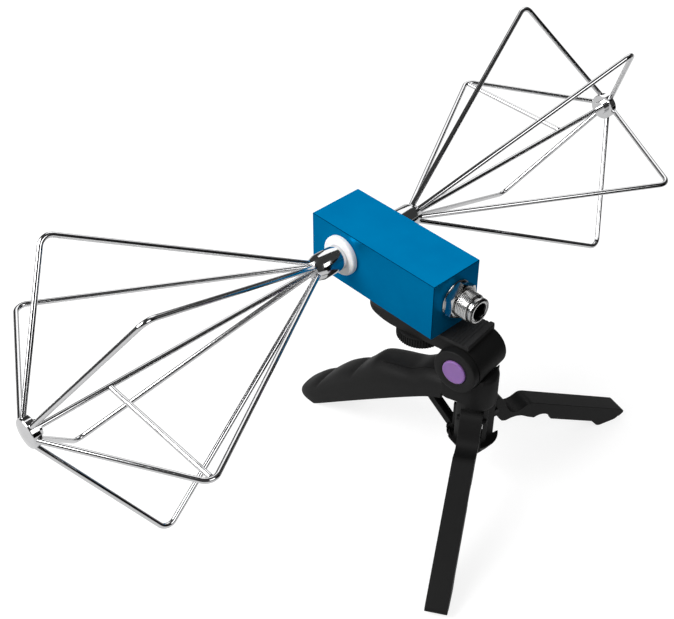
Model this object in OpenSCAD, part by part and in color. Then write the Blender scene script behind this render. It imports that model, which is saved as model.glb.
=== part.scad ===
// Biconical measuring antenna on a folding grip tripod.
// Millimetres, +Z up, floor at z = 0. +Y runs along the antenna axis and +X toward the coaxial socket.

/* [Balun housing] */
// Length of the housing along X
housing_len = 92; // [70:1:120]
// Width of the housing along Y
housing_w = 35; // [28:0.5:50]
// Height of the housing above its base plate
housing_h = 31; // [26:0.5:45]
// Distance from the antenna axis to the plain end of the housing
housing_back = 24.1; // [18:0.5:40]
// Wall thickness of the housing
wall_t = 3; // [2:0.1:5]
// Chamfer along the outer edges
edge_chamfer = 0.3; // [0.1:0.05:2]
// Thickness of the base plate
base_t = 4; // [3:0.1:8]
// Distance of the base screws from the outer faces
screw_inset = 5; // [4:0.1:8]
// Radius of the base screws
base_screw_r = 1.5; // [1:0.1:3]
// Head radius of the base screws
base_screw_head_r = 2.8; // [2:0.1:5]
// Length of the base screws
base_screw_len = 11; // [6:0.5:16]

/* [Coaxial socket] */
// Radius over the thread of the socket
socket_r = 7.94; // [5:0.01:12]
// Distance from the end wall to the mouth of the socket
socket_len = 17; // [12:0.1:30]
// Relief of the shank under the nut
shank_relief = 0.34; // [0.2:0.01:0.6]
// Length of the plain ring at the mouth
socket_ring_len = 2.3; // [1:0.1:5]
// Radius of the plain ring at the mouth
socket_ring_r = 6.8; // [4:0.05:10]
// Length of the run-out groove behind the ring
socket_groove_len = 1.2; // [0.5:0.1:3]
// Radius of the mouth
socket_mouth_r = 5.15; // [3:0.05:8]
// Depth of the mouth
socket_mouth_depth = 9; // [5:0.1:14]
// Radius of the inner flange
socket_flange_r = 9.6; // [8.5:0.1:14]
// Thickness of the inner flange
socket_flange_t = 2.5; // [1:0.1:5]
// Radius of the insulator bead
bead_r = 4.25; // [2:0.05:6]
// Radius of the centre contact
contact_r = 1.52; // [0.8:0.01:3]
// Distance of the contact tip behind the mouth
contact_recess = 5; // [2:0.1:9]
// Width across the flats of the socket nut
socket_nut_af = 19; // [17:0.1:28]
// Thickness of the socket nut
socket_nut_t = 5; // [2:0.1:9]
// Thickness of the lock washer
washer_t = 0.8; // [0.4:0.1:2]
// Outer radius of the lock washer
washer_r = 10.8; // [9:0.1:15]

/* [Balun inside] */
// Thickness of the circuit board
board_t = 1.6; // [0.8:0.1:3]
// Height of the board above the base plate
board_lift = 6.5; // [4:0.1:10]
// Length of the board
board_len = 66; // [40:1:90]
// Width of the board
board_w = 25; // [15:0.5:40]
// Outer radius of the ferrite ring
core_r = 8; // [4:0.1:12]
// Height of the ferrite ring
core_h = 6; // [3:0.1:12]

/* [Cage elements] */
// Radius of the cage rods
rod_r = 1.475; // [0.5:0.025:4]
// Distance from the antenna centre to the bends of the cage rods
cage_y = 174.2; // [100:0.1:300]
// Radius of the cage where the straight parts of a rod would meet
cage_r = 82.6; // [40:0.1:150]
// Half angle of the inner cone of the cage
cage_angle = 30.1; // [15:0.05:45]
// Turn of the left cage about the antenna axis
left_turn = -2.2; // [-30:0.1:30]
// Turn of the right cage about the antenna axis
right_turn = 1.2; // [-30:0.1:30]
// Bending radius of the rods on their centre line
bend_r = 6; // [3:0.1:20]
// Swelling of the rod in its bend
bend_swell = 0.02; // [0.01:0.01:0.2]
// Radius of the hub
hub_r = 7.4; // [5:0.1:15]
// Length of the straight part of the hub
hub_len = 14.9; // [6:0.1:25]
// Length of the coned end of the hub
hub_cone_len = 4.5; // [1:0.1:10]
// Radius of the coned end of the hub
hub_tip_r = 5.6; // [3:0.1:10]
// Distance from the hub root to the inner ends of the rods
rod_seat = 16.8; // [16.5:0.1:18.5]
// Radius of the end cap
cap_r = 8; // [5:0.1:15]
// Length of the straight rim of the cap
cap_rim = 4.6; // [2:0.1:10]
// Distance from the antenna centre to the outer side of the cap's rim
cap_y = 219; // [180:0.5:300]
// Height of the cone on the outside of the cap
cap_cone = 1.6; // [0.5:0.1:6]
// Depth of the rods in the cap
cap_seat = 2; // [1:0.1:4]
// Radius of the insulating bush
bush_r = 11.8; // [8:0.05:16]
// Thickness of the bush flange
bush_t = 3.2; // [1.5:0.1:6]
// Chamfer along the rim of the bush
bush_edge = 1.2; // [0.2:0.1:2]
// Radius of the spigot through the wall
spigot_r = 6; // [3:0.1:8]
// Radius of the stud
stud_r = 2.5; // [1.5:0.1:4]
// Distance from the antenna centre to the inner end of the stud
stud_end = 7.5; // [5:0.1:10]
// Width across the flats of the stud nut
stud_nut_af = 8; // [6:0.1:12]
// Thickness of the stud nut
stud_nut_t = 4; // [2:0.1:6]
// Thickness of the solder lug
lug_t = 0.8; // [0.4:0.1:1.5]

/* [Tripod head] */
// X of the tripod screw, measured from the antenna axis
screw_x = 47.6; // [20:0.1:70]
// Y of the tripod screw, measured from the middle of the housing
screw_y = -2.9; // [-6:0.1:6]
// Turn of the tripod about its screw
tripod_yaw = 8.5; // [-45:0.5:45]
// Distance from the tripod screw to the axis of the column
screw_reach = 38; // [25:0.5:60]
// Radius of the tripod screw
tripod_screw_r = 3.175; // [2:0.005:5]
// Height of the flat underside of the plate above the floor
plate_z = 90.3; // [70:0.1:130]
// Thickness of the plate
plate_t = 7.5; // [4:0.1:12]
// Width of the plate
plate_w = 25.5; // [16:0.5:40]
// Sideways place of the middle of the plate
plate_y = 1.75; // [-4:0.05:4]
// Radius of the curved nose of the plate
nose_r = 32; // [10:0.5:40]
// Distance from the column axis to the middle of the nose curve
nose_x = 47.6; // [40:0.1:70]
// Thickness of the rubber pad
pad_t = 2; // [1:0.1:4]
// Depth of the grooves across the pad
pad_groove = 0.35; // [0.1:0.05:1]
// Distance from the column axis to the near end of the pad
pad_end = 0.7; // [0:0.1:10]
// Radius of the hinge barrel
barrel_r = 13.4; // [8:0.05:18]
// Distance from the column axis to the barrel axis
barrel_x = 5.4; // [0:0.1:12]
// Height of the barrel axis above the floor
barrel_z = 84; // [60:0.1:120]
// Radius of the tilt pin
tilt_pin_r = 2; // [1:0.05:4]
// Radius of the tilt pin's head
tilt_head_r = 4; // [2.5:0.1:8]
// Thickness of the tilt pin's head
tilt_head_t = 2; // [1:0.1:4]
// Radius of the button disc
disc_r = 13; // [10:0.1:18]
// Thickness of the button disc
disc_t = 4.6; // [2:0.05:10]
// Radius of the lock button
button_r = 7.15; // [3:0.05:10]
// Thickness of the lock button
button_t = 3; // [1:0.1:4]
// Travel of the lock button
button_travel = 1.2; // [0.5:0.1:3]
// Thickness of the flattened spring washer
spring_t = 0.3; // [0.2:0.05:1]
// Radius of the thumbwheel
wheel_r = 13.8; // [7:0.1:18]
// Thickness of the thumbwheel
wheel_t = 7; // [3:0.1:12]

/* [Tripod column] */
// Distance from the column axis to the front face of the neck
neck_front = 14.6; // [10:0.1:20]
// Distance from the column axis to the rear face of the neck
neck_rear = 12.5; // [9:0.1:20]
// Distance from the column axis to the right face of the neck
neck_right = 8.5; // [6:0.1:14]
// Radius of the neck's upright edges on the right
neck_edge = 6; // [2:0.1:8]
// Height of the right wall of the neck
neck_top = 79; // [70:0.1:90]
// Radius of the core below the neck
core_post_r = 4.5; // [3:0.1:8]
// Radius of the ears' outer edges from the column axis
ear_reach = 12; // [10:0.1:18]
// Thickness of the ears
ear_t = 2.2; // [1:0.1:5]
// Thickness of the ears on the grip's side
cheek_t = 3.2; // [2.2:0.1:3.6]
// Height of the foot of the column
column_foot = 29.5; // [15:0.1:40]
// Radius of the conical lower hub
cup_r = 15; // [10:0.1:25]
// Height of the lower hub's rim
cup_rim = 4.3; // [2:0.1:10]
// Radius of the lower hub's foot
cup_foot_r = 5; // [4:0.1:15]
// Height of the lower hub's foot above the floor
cup_foot = 16.3; // [5:0.1:20]

/* [Legs] */
// Distance of the leg hinges from the column axis
hinge_r = 9.5; // [8:0.1:16]
// Height of the grip leg's hinge
grip_hinge_z = 65.5; // [55:0.1:75]
// Height of the straight legs' hinges
leg_hinge_z = 49; // [40:0.1:58]
// Radius of the hinge knuckles
knuckle_r = 6.2; // [4:0.1:9]
// Radius of the grip's hinge knuckles
grip_knuckle_r = 5; // [3:0.1:5.2]
// Radius of the hinge pins
hinge_pin_r = 1.5; // [1:0.05:3]
// Angle between each straight leg and the plane of the grip
leg_spread = 65.7; // [50:0.1:85]
// Width of the straight legs
leg_w = 12; // [8:0.1:20]
// Width of the channel under the straight legs
channel_w = 7.4; // [4:0.1:12]
// Slope of the straight legs
leg_slope = 27.5; // [15:0.5:45]
// Depth of the straight legs measured upright
leg_depth = 11.5; // [7:0.1:18]
// Distance from the column axis to the tip of a straight leg
leg_reach = 106.6; // [90:0.1:140]
// Height of the top line at the tip of a straight leg
leg_tip_h = 5.94; // [5:0.02:9]
// Slope of the grip leg
grip_slope = 35.5; // [20:0.5:50]
// Half width of the grip leg
grip_half_w = 13.4; // [9:0.1:20]
// Outer width of the grip leg's hinge fork
grip_fork_w = 19.2; // [14:0.1:24]
// Thickness of the fork's cheeks
grip_cheek_t = 2.6; // [1.5:0.1:4]
// Half width of the hollow of the grip leg
grip_hollow = 10.2; // [6:0.1:12]
// Distance of the strut's pivot from the column axis
strut_x = 12; // [9:0.1:16]
// Height of the strut's pivot
strut_z = 29.2; // [25:0.1:32]
// Length of the strut between its pivot and its tip
strut_len = 31.5; // [25:0.1:50]
// Slope of the strut
strut_slope = 43.5; // [35:0.5:70]
// Width of the strut
strut_w = 5.4; // [3:0.1:8]
// Radius of the strut's upper tip
strut_tip_r = 2.2; // [1:0.1:4]
// Radius of the strut's pin
strut_pin_r = 1.25; // [0.8:0.05:2]

/* [Fits] */
// Radial clearance of parts that are fixed in each other
fit = 0.03; // [0.01:0.01:0.1]
// Radial clearance of parts that turn on each other
running = 0.05; // [0.02:0.01:0.1]
// Gap between faces that pass each other
gap = 0.3; // [0.1:0.05:0.6]

/* [Hidden] */
$fn = 64;

// Housing, measured from the antenna axis
housing_front = housing_len - housing_back;
half_w = housing_w / 2;
half_h = housing_h / 2;
inner_w = half_w - wall_t;
nut_face = washer_t + socket_nut_t;
shank_r = socket_r - shank_relief;
board_z = -half_h + board_lift;
middle_x = housing_front - housing_len / 2;
boss_half = 3.2;
post_inset = 4;
post_r = 2.5;
post_hole_r = 1.3;
core_x = 30;
hex_key_r = 1.1;
flange_back = -wall_t - socket_flange_t;
mouth_floor = socket_len - socket_mouth_depth;
bead_nose_r = 3.2;
bead_nose = 2.5;
contact_tail = 4;
contact_bore_r = 0.85;

// Cage rods in the plane of the axis, as radius and distance along it
cone_apex = cage_y - cage_r / tan(cage_angle);
hub_y = half_w + bush_t;
rod_y0 = hub_y + rod_seat;
rod_r0 = (rod_y0 - cone_apex) * tan(cage_angle);
cap_entry_y = cap_y - cap_rim / 2 - 0.1;
outer_angle = atan((cage_r - cap_r) / (cap_entry_y - cage_y));
turn_angle = cage_angle + outer_angle;
bend_reach = bend_r * tan(turn_angle / 2);
bend_in = [cage_r - bend_reach * sin(cage_angle), cage_y - bend_reach * cos(cage_angle)];
bend_out = [cage_r - bend_reach * sin(outer_angle), cage_y + bend_reach * cos(outer_angle)];
bend_mid = [bend_in[0] - bend_r * cos(cage_angle), bend_in[1] + bend_r * sin(cage_angle)];
inner_len = (bend_in[1] - rod_y0) / cos(cage_angle);
outer_len = (bend_out[0] - cap_r + cap_seat) / sin(outer_angle);
bend_lap = 0.3;
cross_y = bend_mid[1];
cross_end = bend_mid[0] + bend_r - rod_r - bend_swell - gap;
lug_y = inner_w - 1;
lug_r = 4.4;
lug_w = 3;
cap_hole = cap_y - 1.5;
cap_tip_r = 0.8;
cap_collar_r = 4.3;
cap_collar = 2.5;

// Tripod
column_x = screw_x + screw_reach * cos(tripod_yaw);
column_y = screw_y + screw_reach * sin(tripod_yaw);
plate_top = plate_z + plate_t;
pad_top = plate_top + pad_t;
axis_z = pad_top + base_t + half_h;
nose_z = plate_z + nose_r;
nose_tip = nose_x + sqrt(nose_r * nose_r - pow(nose_z - plate_top, 2));
plate_near = plate_y - plate_w / 2;
plate_far = plate_y + plate_w / 2;
disc_back = plate_near - gap;
disc_front = disc_back - disc_t;
disc_floor = disc_back - 1;
saddle_r = barrel_r + gap + 0.1;
wheel_z = plate_z - gap - wheel_t;
plate_corner = 6;
lip_w = 2.5;
lip_h = 0.8;
groove_w = 1;
groove_first = 13;
ear_in = leg_w / 2 + gap;
ear_out = ear_in + ear_t;
cheek_out = ear_in + cheek_t;
leg_pin_len = 2 * ear_out - 0.6;
neck_corner = 4.4;
neck_left = hinge_r + neck_corner;
neck_bottom = grip_hinge_z - neck_corner;
leg_clear = leg_hinge_z + knuckle_r + 1;
slot_half = grip_fork_w / 2 + gap;
grip_pin_len = 2 * slot_half + 3.8;
root_r = neck_left + gap;
cup_top = column_foot;
cup_edge = cup_top - 1.2;
clevis_in = strut_w / 2 + gap;
clevis_out = clevis_in + 2;
strut_rail = strut_z + 5;
hub_screw_r = 1.5;
hub_screw_head_r = 3;
web_end = 8.5;
web_half = 1.5;
rail_top = 56;
slot_back = -2.9;
fork_room = 8.3;
clevis_r = 2.9;

// Straight legs: the bend of the top line and the lines above and below it
leg_toe = leg_reach - 1.4;
leg_bend_r = 34;
leg_bend = [leg_bend_r, leg_tip_h + (leg_toe - leg_bend_r) * tan(leg_slope)];
leg_wall = 2.6;
leg_heel = leg_reach - 24;
function leg_top(r) = leg_bend[1] - (r - leg_bend[0]) * tan(leg_slope);
function arc(x, z, r, from, to, n) = [for (i = [0:n]) [x + r * cos(from + (to - from) * i / n),
                                                      z + r * sin(from + (to - from) * i / n)]];

// Grip leg: heights over the slope line from grip_start, at distances along it
grip_start = [28, 69.7];
grip_top_line = [[-20, -7.5], [-13, -4.8], [0, 0], [12, 0.6], [19.5, 3], [27, 6], [37, 8.9], [44, 7.6],
                 [51, 5.3], [58.5, 4.3], [65, 4.9], [72, 4.9], [78, 3.9], [86, 1.7], [93, 0.3], [100, 0.4],
                 [107, -0.3], [112, -1.2], [116, -3], [119, -6]];
grip_low_line = [[-20, -22.4], [-3.6, -17.1], [9.5, -15], [60, -13], [107, -12], [119, -11.8]];
grip_width = [[-20, 1], [95, 1], [103, 0.96], [108.5, 0.88], [113, 0.74], [116, 0.58], [119, 0.3]];
grip_steps = [for (s = [-20:5:95]) s, 99, 103, 107, 110, 112, 114, 116, 118, 119];
grip_arc = 16;
function grip_at(s, y, h) = [grip_start[0] + s * cos(grip_slope) + h * sin(grip_slope), y,
                             grip_start[1] - s * sin(grip_slope) + h * cos(grip_slope)];
function grip_curve(u) = sign(u) * pow(abs(u), 0.8);
function grip_section(s) =
    let (w = grip_half_w * lookup(s, grip_width),
         top = lookup(s, grip_top_line),
         low = lookup(s, grip_low_line),
         side = low + 0.35 * (top - low))
    concat([for (j = [0:grip_arc]) grip_at(s, w * grip_curve(cos(180 * j / grip_arc)),
                                           side + (top - side) * grip_curve(sin(180 * j / grip_arc)))],
           [grip_at(s, -w, low), grip_at(s, w, low)]);

// The row's frame: its origin is under the middle of everything
tip_x = column_x + leg_reach * cos(tripod_yaw - leg_spread) + leg_w / 2 * sin(leg_spread - tripod_yaw);
cage_out = (bend_mid[0] + bend_r) * cos(right_turn) + rod_r + bend_swell;
frame_x = (tip_x - cage_out) / 2;

// Moves from the antenna axis, from the tripod's column and from a leg into the row's frame
module on_axis() { translate([-frame_x, 0, axis_z]) children(); }
module on_column() { translate([column_x - frame_x, column_y, 0]) rotate([0, 0, tripod_yaw]) children(); }
module on_grip() { on_column() rotate([0, 0, 180]) children(); }
module on_left() { on_column() rotate([0, 0, -leg_spread]) children(); }
module on_right() { on_column() rotate([0, 0, leg_spread]) children(); }

// Elements are drawn along +Z with X outward, then laid along +Y or -Y
module element(side) { on_axis() rotate([0, 0, side > 0 ? 0 : 180]) rotate([-90, 0, 0]) children(); }
module cage(side) { element(side) rotate([0, 0, side > 0 ? right_turn : left_turn]) children(); }

// A side profile in leg coordinates, given a width
module profile(points, width) {
    rotate([90, 0, 0]) linear_extrude(height = width, center = true) polygon(points);
}
module cross_bore(x, z, r, width) {
    translate([x, 0, z]) rotate([90, 0, 0]) cylinder(r = r, h = width, center = true);
}
module along_y(x, y, z, r, len) { translate([x, y, z]) rotate([-90, 0, 0]) cylinder(r = r, h = len); }

// A box from one corner to the other
module box(from, to) { translate(from) cube(to - from); }

// Balun housing
module chamfered(w, h, c) {
    polygon([[-w / 2 + c, -h / 2], [w / 2 - c, -h / 2], [w / 2, -h / 2 + c], [w / 2, h / 2 - c],
             [w / 2 - c, h / 2], [-w / 2 + c, h / 2], [-w / 2, h / 2 - c], [-w / 2, -h / 2 + c]]);
}

module screw_places() {
    for (x = [-housing_back + screw_inset, housing_front - screw_inset], y = [-1, 1])
        translate([x, y * (half_w - screw_inset), -half_h - base_t]) children();
}

module end_outline() { chamfered(housing_w, housing_h + base_t, edge_chamfer); }
module side_outline() { chamfered(housing_len, housing_h + base_t, edge_chamfer); }
module top_outline() { chamfered(housing_len, housing_w, edge_chamfer); }

module housing() color("#0076B2") on_axis() difference() {
    union() {
        difference() {
            intersection() {
                translate([middle_x, 0, -half_h]) linear_extrude(height = housing_h) top_outline();
                translate([-housing_back, 0, -base_t / 2]) rotate([90, 0, 90])
                    linear_extrude(height = housing_len) end_outline();
                translate([middle_x, half_w, -base_t / 2]) rotate([90, 0, 0])
                    linear_extrude(height = housing_w) side_outline();
            }
            box([-housing_back + wall_t, -inner_w, -half_h - 1],
                [housing_front - wall_t, inner_w, half_h - wall_t]);
        }
        screw_places() translate([0, 0, base_t])
            box([-boss_half, -boss_half, 0], [boss_half, boss_half, base_screw_len + 1]);
    }
    along_y(0, -half_w - 1, 0, spigot_r + fit, housing_w + 2);
    translate([housing_front - wall_t - 1, 0, 0]) rotate([0, 90, 0])
        cylinder(r = socket_r + fit, h = wall_t + 2);
    screw_places() cylinder(r = base_screw_r + fit, h = base_screw_len + 0.2);
}

module screw_shape(clear) {
    cone_h = base_screw_head_r - base_screw_r;
    cylinder(r1 = base_screw_head_r + clear, r2 = base_screw_r + clear, h = cone_h);
    cylinder(r = base_screw_r + clear, h = base_screw_len);
}

module board_places() {
    for (x = [-1, 1], y = [-1, 1])
        translate([middle_x + x * (board_len / 2 - post_inset), y * (board_w / 2 - post_inset), 0])
            children();
}

module base_plate() color("#006FA6") on_axis() difference() {
    union() {
        intersection() {
            translate([middle_x, 0, -half_h - base_t]) linear_extrude(height = base_t) top_outline();
            translate([-housing_back, 0, -base_t / 2]) rotate([90, 0, 90])
                linear_extrude(height = housing_len) end_outline();
        }
        board_places() translate([0, 0, -half_h - 1]) cylinder(r = post_r, h = board_lift + 1);
    }
    screw_places() screw_shape(fit);
    translate([screw_x, screw_y, -half_h - base_t - 1])
        cylinder(r = tripod_screw_r + running, h = base_t + 2);
}

module base_screws() color("#9A9C9E") on_axis() screw_places() difference() {
    screw_shape(0);
    translate([0, 0, -0.5]) cylinder(r = hex_key_r, h = 1.6, $fn = 6);
}

// Coaxial socket, drawn along +Z from the outer face of the end wall
module on_socket() { on_axis() translate([housing_front, 0, 0]) rotate([0, 90, 0]) children(); }
module ring(r_in, r_out, from, to) {
    translate([0, 0, from]) difference() {
        cylinder(r = r_out, h = to - from);
        translate([0, 0, -1]) cylinder(r = r_in, h = to - from + 2);
    }
}

module connector_body() color("#B4B2AC") on_socket() difference() {
    thread_end = socket_len - socket_ring_len - socket_groove_len;
    union() {
        translate([0, 0, flange_back]) cylinder(r = socket_flange_r, h = socket_flange_t);
        translate([0, 0, -wall_t - 0.1]) cylinder(r = shank_r, h = wall_t + 0.1 + nut_face);
        translate([0, 0, nut_face]) cylinder(r = socket_r, h = thread_end - nut_face);
        cylinder(r = socket_ring_r, h = socket_len);
    }
    translate([0, 0, flange_back - 1]) cylinder(r = bead_r + fit, h = mouth_floor - flange_back + 2);
    translate([0, 0, mouth_floor]) cylinder(r = socket_mouth_r, h = socket_mouth_depth + 1);
}

module connector_washer() color("#A8A69E") on_socket() ring(socket_r + fit, washer_r, 0, washer_t);

module connector_nut() color("#C2C0BA") on_socket() difference() {
    translate([0, 0, washer_t]) rotate([0, 0, 30])
        cylinder(r = socket_nut_af / 2 / cos(30), h = socket_nut_t, $fn = 6);
    cylinder(r = shank_r + fit, h = socket_len);
}

module connector_insulator() color("#F2F0EA") on_socket() difference() {
    union() {
        translate([0, 0, flange_back]) cylinder(r = bead_r, h = mouth_floor - flange_back);
        translate([0, 0, mouth_floor - 0.1]) cylinder(r = bead_nose_r, h = bead_nose + 0.1);
    }
    translate([0, 0, flange_back - 1]) cylinder(r = contact_r + fit, h = socket_len - flange_back + 1);
}

module connector_pin() color("#C9A24A") on_socket() difference() {
    tail = flange_back - contact_tail;
    tip = socket_len - contact_recess;
    translate([0, 0, tail]) cylinder(r = contact_r, h = tip - tail);
    translate([0, 0, tip - 4]) cylinder(r = contact_bore_r, h = 5);
}

// Balun inside the housing
module balun_board() color("#1E6B3C") on_axis() difference() {
    translate([middle_x - board_len / 2, -board_w / 2, board_z]) cube([board_len, board_w, board_t]);
    board_places() translate([0, 0, board_z - 1]) cylinder(r = post_hole_r, h = board_t + 2);
}

module balun_core() color("#3A3A3C") on_axis()
    translate([core_x, 0, board_z + board_t]) ring(core_r / 2, core_r, 0, core_h);

// Cage elements
module lead(side) element(side) {
    ring(stud_r + fit, lug_r, lug_y - lug_t, lug_y);
    box([-lug_w / 2, lug_r - 0.8, lug_y - lug_t], [lug_w / 2, -board_z - board_t, lug_y]);
}
module left_lead() color("#C9A24A") lead(-1);
module right_lead() color("#C9A24A") lead(1);

module bush(side) element(side) difference() {
    union() {
        translate([0, 0, half_w]) cylinder(r = bush_r, h = bush_t - bush_edge);
        translate([0, 0, hub_y - bush_edge])
            cylinder(r1 = bush_r, r2 = bush_r - bush_edge, h = bush_edge);
        translate([0, 0, lug_y]) cylinder(r = spigot_r, h = half_w - lug_y + 0.1);
    }
    cylinder(r = stud_r + fit, h = 60);
}
module left_bush() color("#F4F4F2") bush(-1);
module right_bush() color("#F4F4F2") bush(1);

module straight_rods(r) {
    for (k = [0:5]) rotate([0, 0, 60 * k])
        translate([rod_r0, 0, rod_y0]) rotate([0, cage_angle, 0]) cylinder(r = r, h = 20);
}

module hub(side) cage(side) difference() {
    union() {
        translate([0, 0, stud_end]) cylinder(r = stud_r, h = hub_y - stud_end + 1);
        translate([0, 0, hub_y]) cylinder(r = hub_r, h = hub_len);
        translate([0, 0, hub_y + hub_len]) cylinder(r1 = hub_r, r2 = hub_tip_r, h = hub_cone_len);
    }
    straight_rods(rod_r + fit);
    translate([0, 0, rod_y0]) cylinder(r = rod_r + fit, h = 20);
}
module left_hub() color("#C8C8CA") hub(-1);
module right_hub() color("#C8C8CA") hub(1);

module stud_nut(side) element(side) difference() {
    translate([0, 0, lug_y - lug_t - stud_nut_t])
        cylinder(r = stud_nut_af / 2 / cos(30), h = stud_nut_t, $fn = 6);
    cylinder(r = stud_r + fit, h = 60);
}
module left_stud_nut() color("#B8B8BA") stud_nut(-1);
module right_stud_nut() color("#B8B8BA") stud_nut(1);

module rod(side, k) cage(side) rotate([0, 0, 60 - 60 * k]) {
    translate([rod_r0, 0, rod_y0]) rotate([0, cage_angle, 0])
        cylinder(r = rod_r, h = inner_len + bend_lap);
    translate([bend_mid[0], 0, bend_mid[1]]) rotate([90, 0, 0]) rotate([0, 0, -cage_angle])
        rotate_extrude(angle = turn_angle) translate([bend_r, 0]) circle(r = rod_r + bend_swell);
    translate([bend_out[0], 0, bend_out[1]]) rotate([0, -outer_angle, 0]) translate([0, 0, -bend_lap])
        cylinder(r = rod_r, h = outer_len + bend_lap);
}
module left_rod_1() color("#C4C4C6") rod(-1, 1);
module left_rod_2() color("#C4C4C6") rod(-1, 2);
module left_rod_3() color("#C4C4C6") rod(-1, 3);
module left_rod_4() color("#C4C4C6") rod(-1, 4);
module left_rod_5() color("#C4C4C6") rod(-1, 5);
module left_rod_6() color("#C4C4C6") rod(-1, 6);
module right_rod_1() color("#C4C4C6") rod(1, 1);
module right_rod_2() color("#C4C4C6") rod(1, 2);
module right_rod_3() color("#C4C4C6") rod(1, 3);
module right_rod_4() color("#C4C4C6") rod(1, 4);
module right_rod_5() color("#C4C4C6") rod(1, 5);
module right_rod_6() color("#C4C4C6") rod(1, 6);

module centre_rod(side) element(side) translate([0, 0, rod_y0]) cylinder(r = rod_r, h = cap_hole - rod_y0);
module left_centre_rod() color("#C4C4C6") centre_rod(-1);
module right_centre_rod() color("#C4C4C6") centre_rod(1);

module cross_rod(side) cage(side) translate([-cross_end + fit, 0, cross_y]) rotate([0, 90, 0])
    cylinder(r = rod_r, h = cross_end - rod_r - 2 * fit);
module left_cross_rod() color("#C4C4C6") cross_rod(-1);
module right_cross_rod() color("#C4C4C6") cross_rod(1);

module cap(side) cage(side) difference() {
    union() {
        translate([0, 0, cap_y - cap_rim]) cylinder(r = cap_r, h = cap_rim);
        translate([0, 0, cap_y]) cylinder(r1 = cap_r, r2 = cap_tip_r, h = cap_cone);
        translate([0, 0, cap_y - cap_rim - cap_collar]) cylinder(r = cap_collar_r, h = cap_collar + 0.5);
    }
    for (k = [0:5]) rotate([0, 0, 60 * k])
        translate([cap_r - cap_seat, 0, cap_entry_y + cap_seat / tan(outer_angle)])
            rotate([0, -outer_angle, 0]) translate([0, 0, -20]) cylinder(r = rod_r + fit, h = 20);
    cylinder(r = rod_r + fit, h = cap_hole);
}
module left_cap() color("#C8C8CA") cap(-1);
module right_cap() color("#C8C8CA") cap(1);

// Tripod head. In column coordinates the plate reaches along -X and the hinge barrel lies along Y.
module plate_plan() {
    w = plate_w / 2;
    c = plate_corner;
    translate([0, plate_y]) polygon(concat([[0, -w], [0, w]],
        arc(-nose_tip + c, w - c, c, 90, 180, 6), arc(-nose_tip + c, -w + c, c, 180, 270, 6)));
}

module head_plate() color("#242425") on_column() difference() {
    nose_from = 180 + asin((nose_z - plate_top) / nose_r);
    union() {
        intersection() {
            translate([0, plate_y, 0]) profile(concat([[-pad_end, plate_top], [-nose_tip, plate_top]],
                arc(-nose_x, nose_z, nose_r, nose_from, 270, 10), [[-pad_end, plate_z]]), plate_w);
            translate([0, 0, plate_z - 1]) linear_extrude(height = plate_t + 2) plate_plan();
        }
        intersection() {
            along_y(-barrel_x, plate_near, barrel_z, barrel_r, plate_w);
            box([-40, -40, 60], [40, 40, plate_top]);
        }
    }
    translate([-screw_reach, 0, plate_z - 1]) cylinder(r = tripod_screw_r + gap, h = plate_t + 2);
    along_y(-barrel_x, plate_near - 1, barrel_z, tilt_pin_r + running, plate_w + 2);
    along_y(-barrel_x, plate_far - tilt_head_t - 0.5, barrel_z, tilt_head_r + running, tilt_head_t + 1);
}

module plate_pad() color("#303031") on_column() difference() {
    lip_x = -pad_end - 0.2;
    union() {
        intersection() {
            translate([0, 0, plate_top]) linear_extrude(height = pad_t) plate_plan();
            box([-nose_tip, plate_near, plate_top], [-pad_end, plate_far, pad_top]);
        }
        box([lip_x - lip_w, plate_near, pad_top - 0.5], [lip_x, plate_far, pad_top + lip_h]);
    }
    for (i = [0:4]) translate([-groove_first + 2 * groove_w * i, 0, pad_top - pad_groove])
        box([0, plate_near - 1, 0], [groove_w, plate_far + 1, pad_groove + 1]);
    translate([-screw_reach, 0, plate_top - 1]) cylinder(r = tripod_screw_r + gap, h = pad_t + 2);
}

module thumbwheel() color("#1F1F20") on_column() translate([-screw_reach, 0, wheel_z]) {
    cylinder(r = wheel_r, h = wheel_t);
    cylinder(r = tripod_screw_r, h = pad_top - wheel_z + base_t - 0.4);
}

module tilt_pin() color("#8E9092") on_column() {
    along_y(-barrel_x, disc_floor, barrel_z, tilt_pin_r, plate_far - gap - disc_floor);
    along_y(-barrel_x, plate_far - tilt_head_t - gap, barrel_z, tilt_head_r, tilt_head_t);
}

module lock_button() color("#9870B2") on_column()
    along_y(-barrel_x, disc_floor - spring_t - button_travel - button_t, barrel_z, button_r, button_t);

module button_spring() color("#A0A2A4") on_column() translate([-barrel_x, 0, barrel_z]) rotate([-90, 0, 0])
    ring(3, button_r - 0.6, disc_floor - spring_t, disc_floor);

// Column: button disc, neck block and the spine that carries the legs
module neck_side() {
    polygon(concat([[neck_right, leg_clear], [neck_right, neck_top], [-neck_left, neck_top]],
                   arc(-hinge_r, grip_hinge_z, neck_corner, 180, 270, 8),
                   [[-core_post_r, neck_bottom], [-core_post_r, leg_clear]]));
}

module neck_plan() {
    polygon(concat([[-neck_left, neck_rear], [-neck_left, -neck_front]],
                   arc(neck_right - neck_edge, -neck_front + neck_edge, neck_edge, -90, 0, 8),
                   arc(neck_right - neck_edge, neck_rear - neck_edge, neck_edge, 0, 90, 8)));
}

module leg_rails() {
    box([-1, 2, column_foot], [3, cheek_out, neck_bottom + 0.3]);
    box([2, ear_in, column_foot], [ear_reach, cheek_out, neck_bottom + 0.3]);
    box([3, -ear_out, column_foot], [ear_reach, -ear_in, neck_bottom + 0.3]);
}

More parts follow.
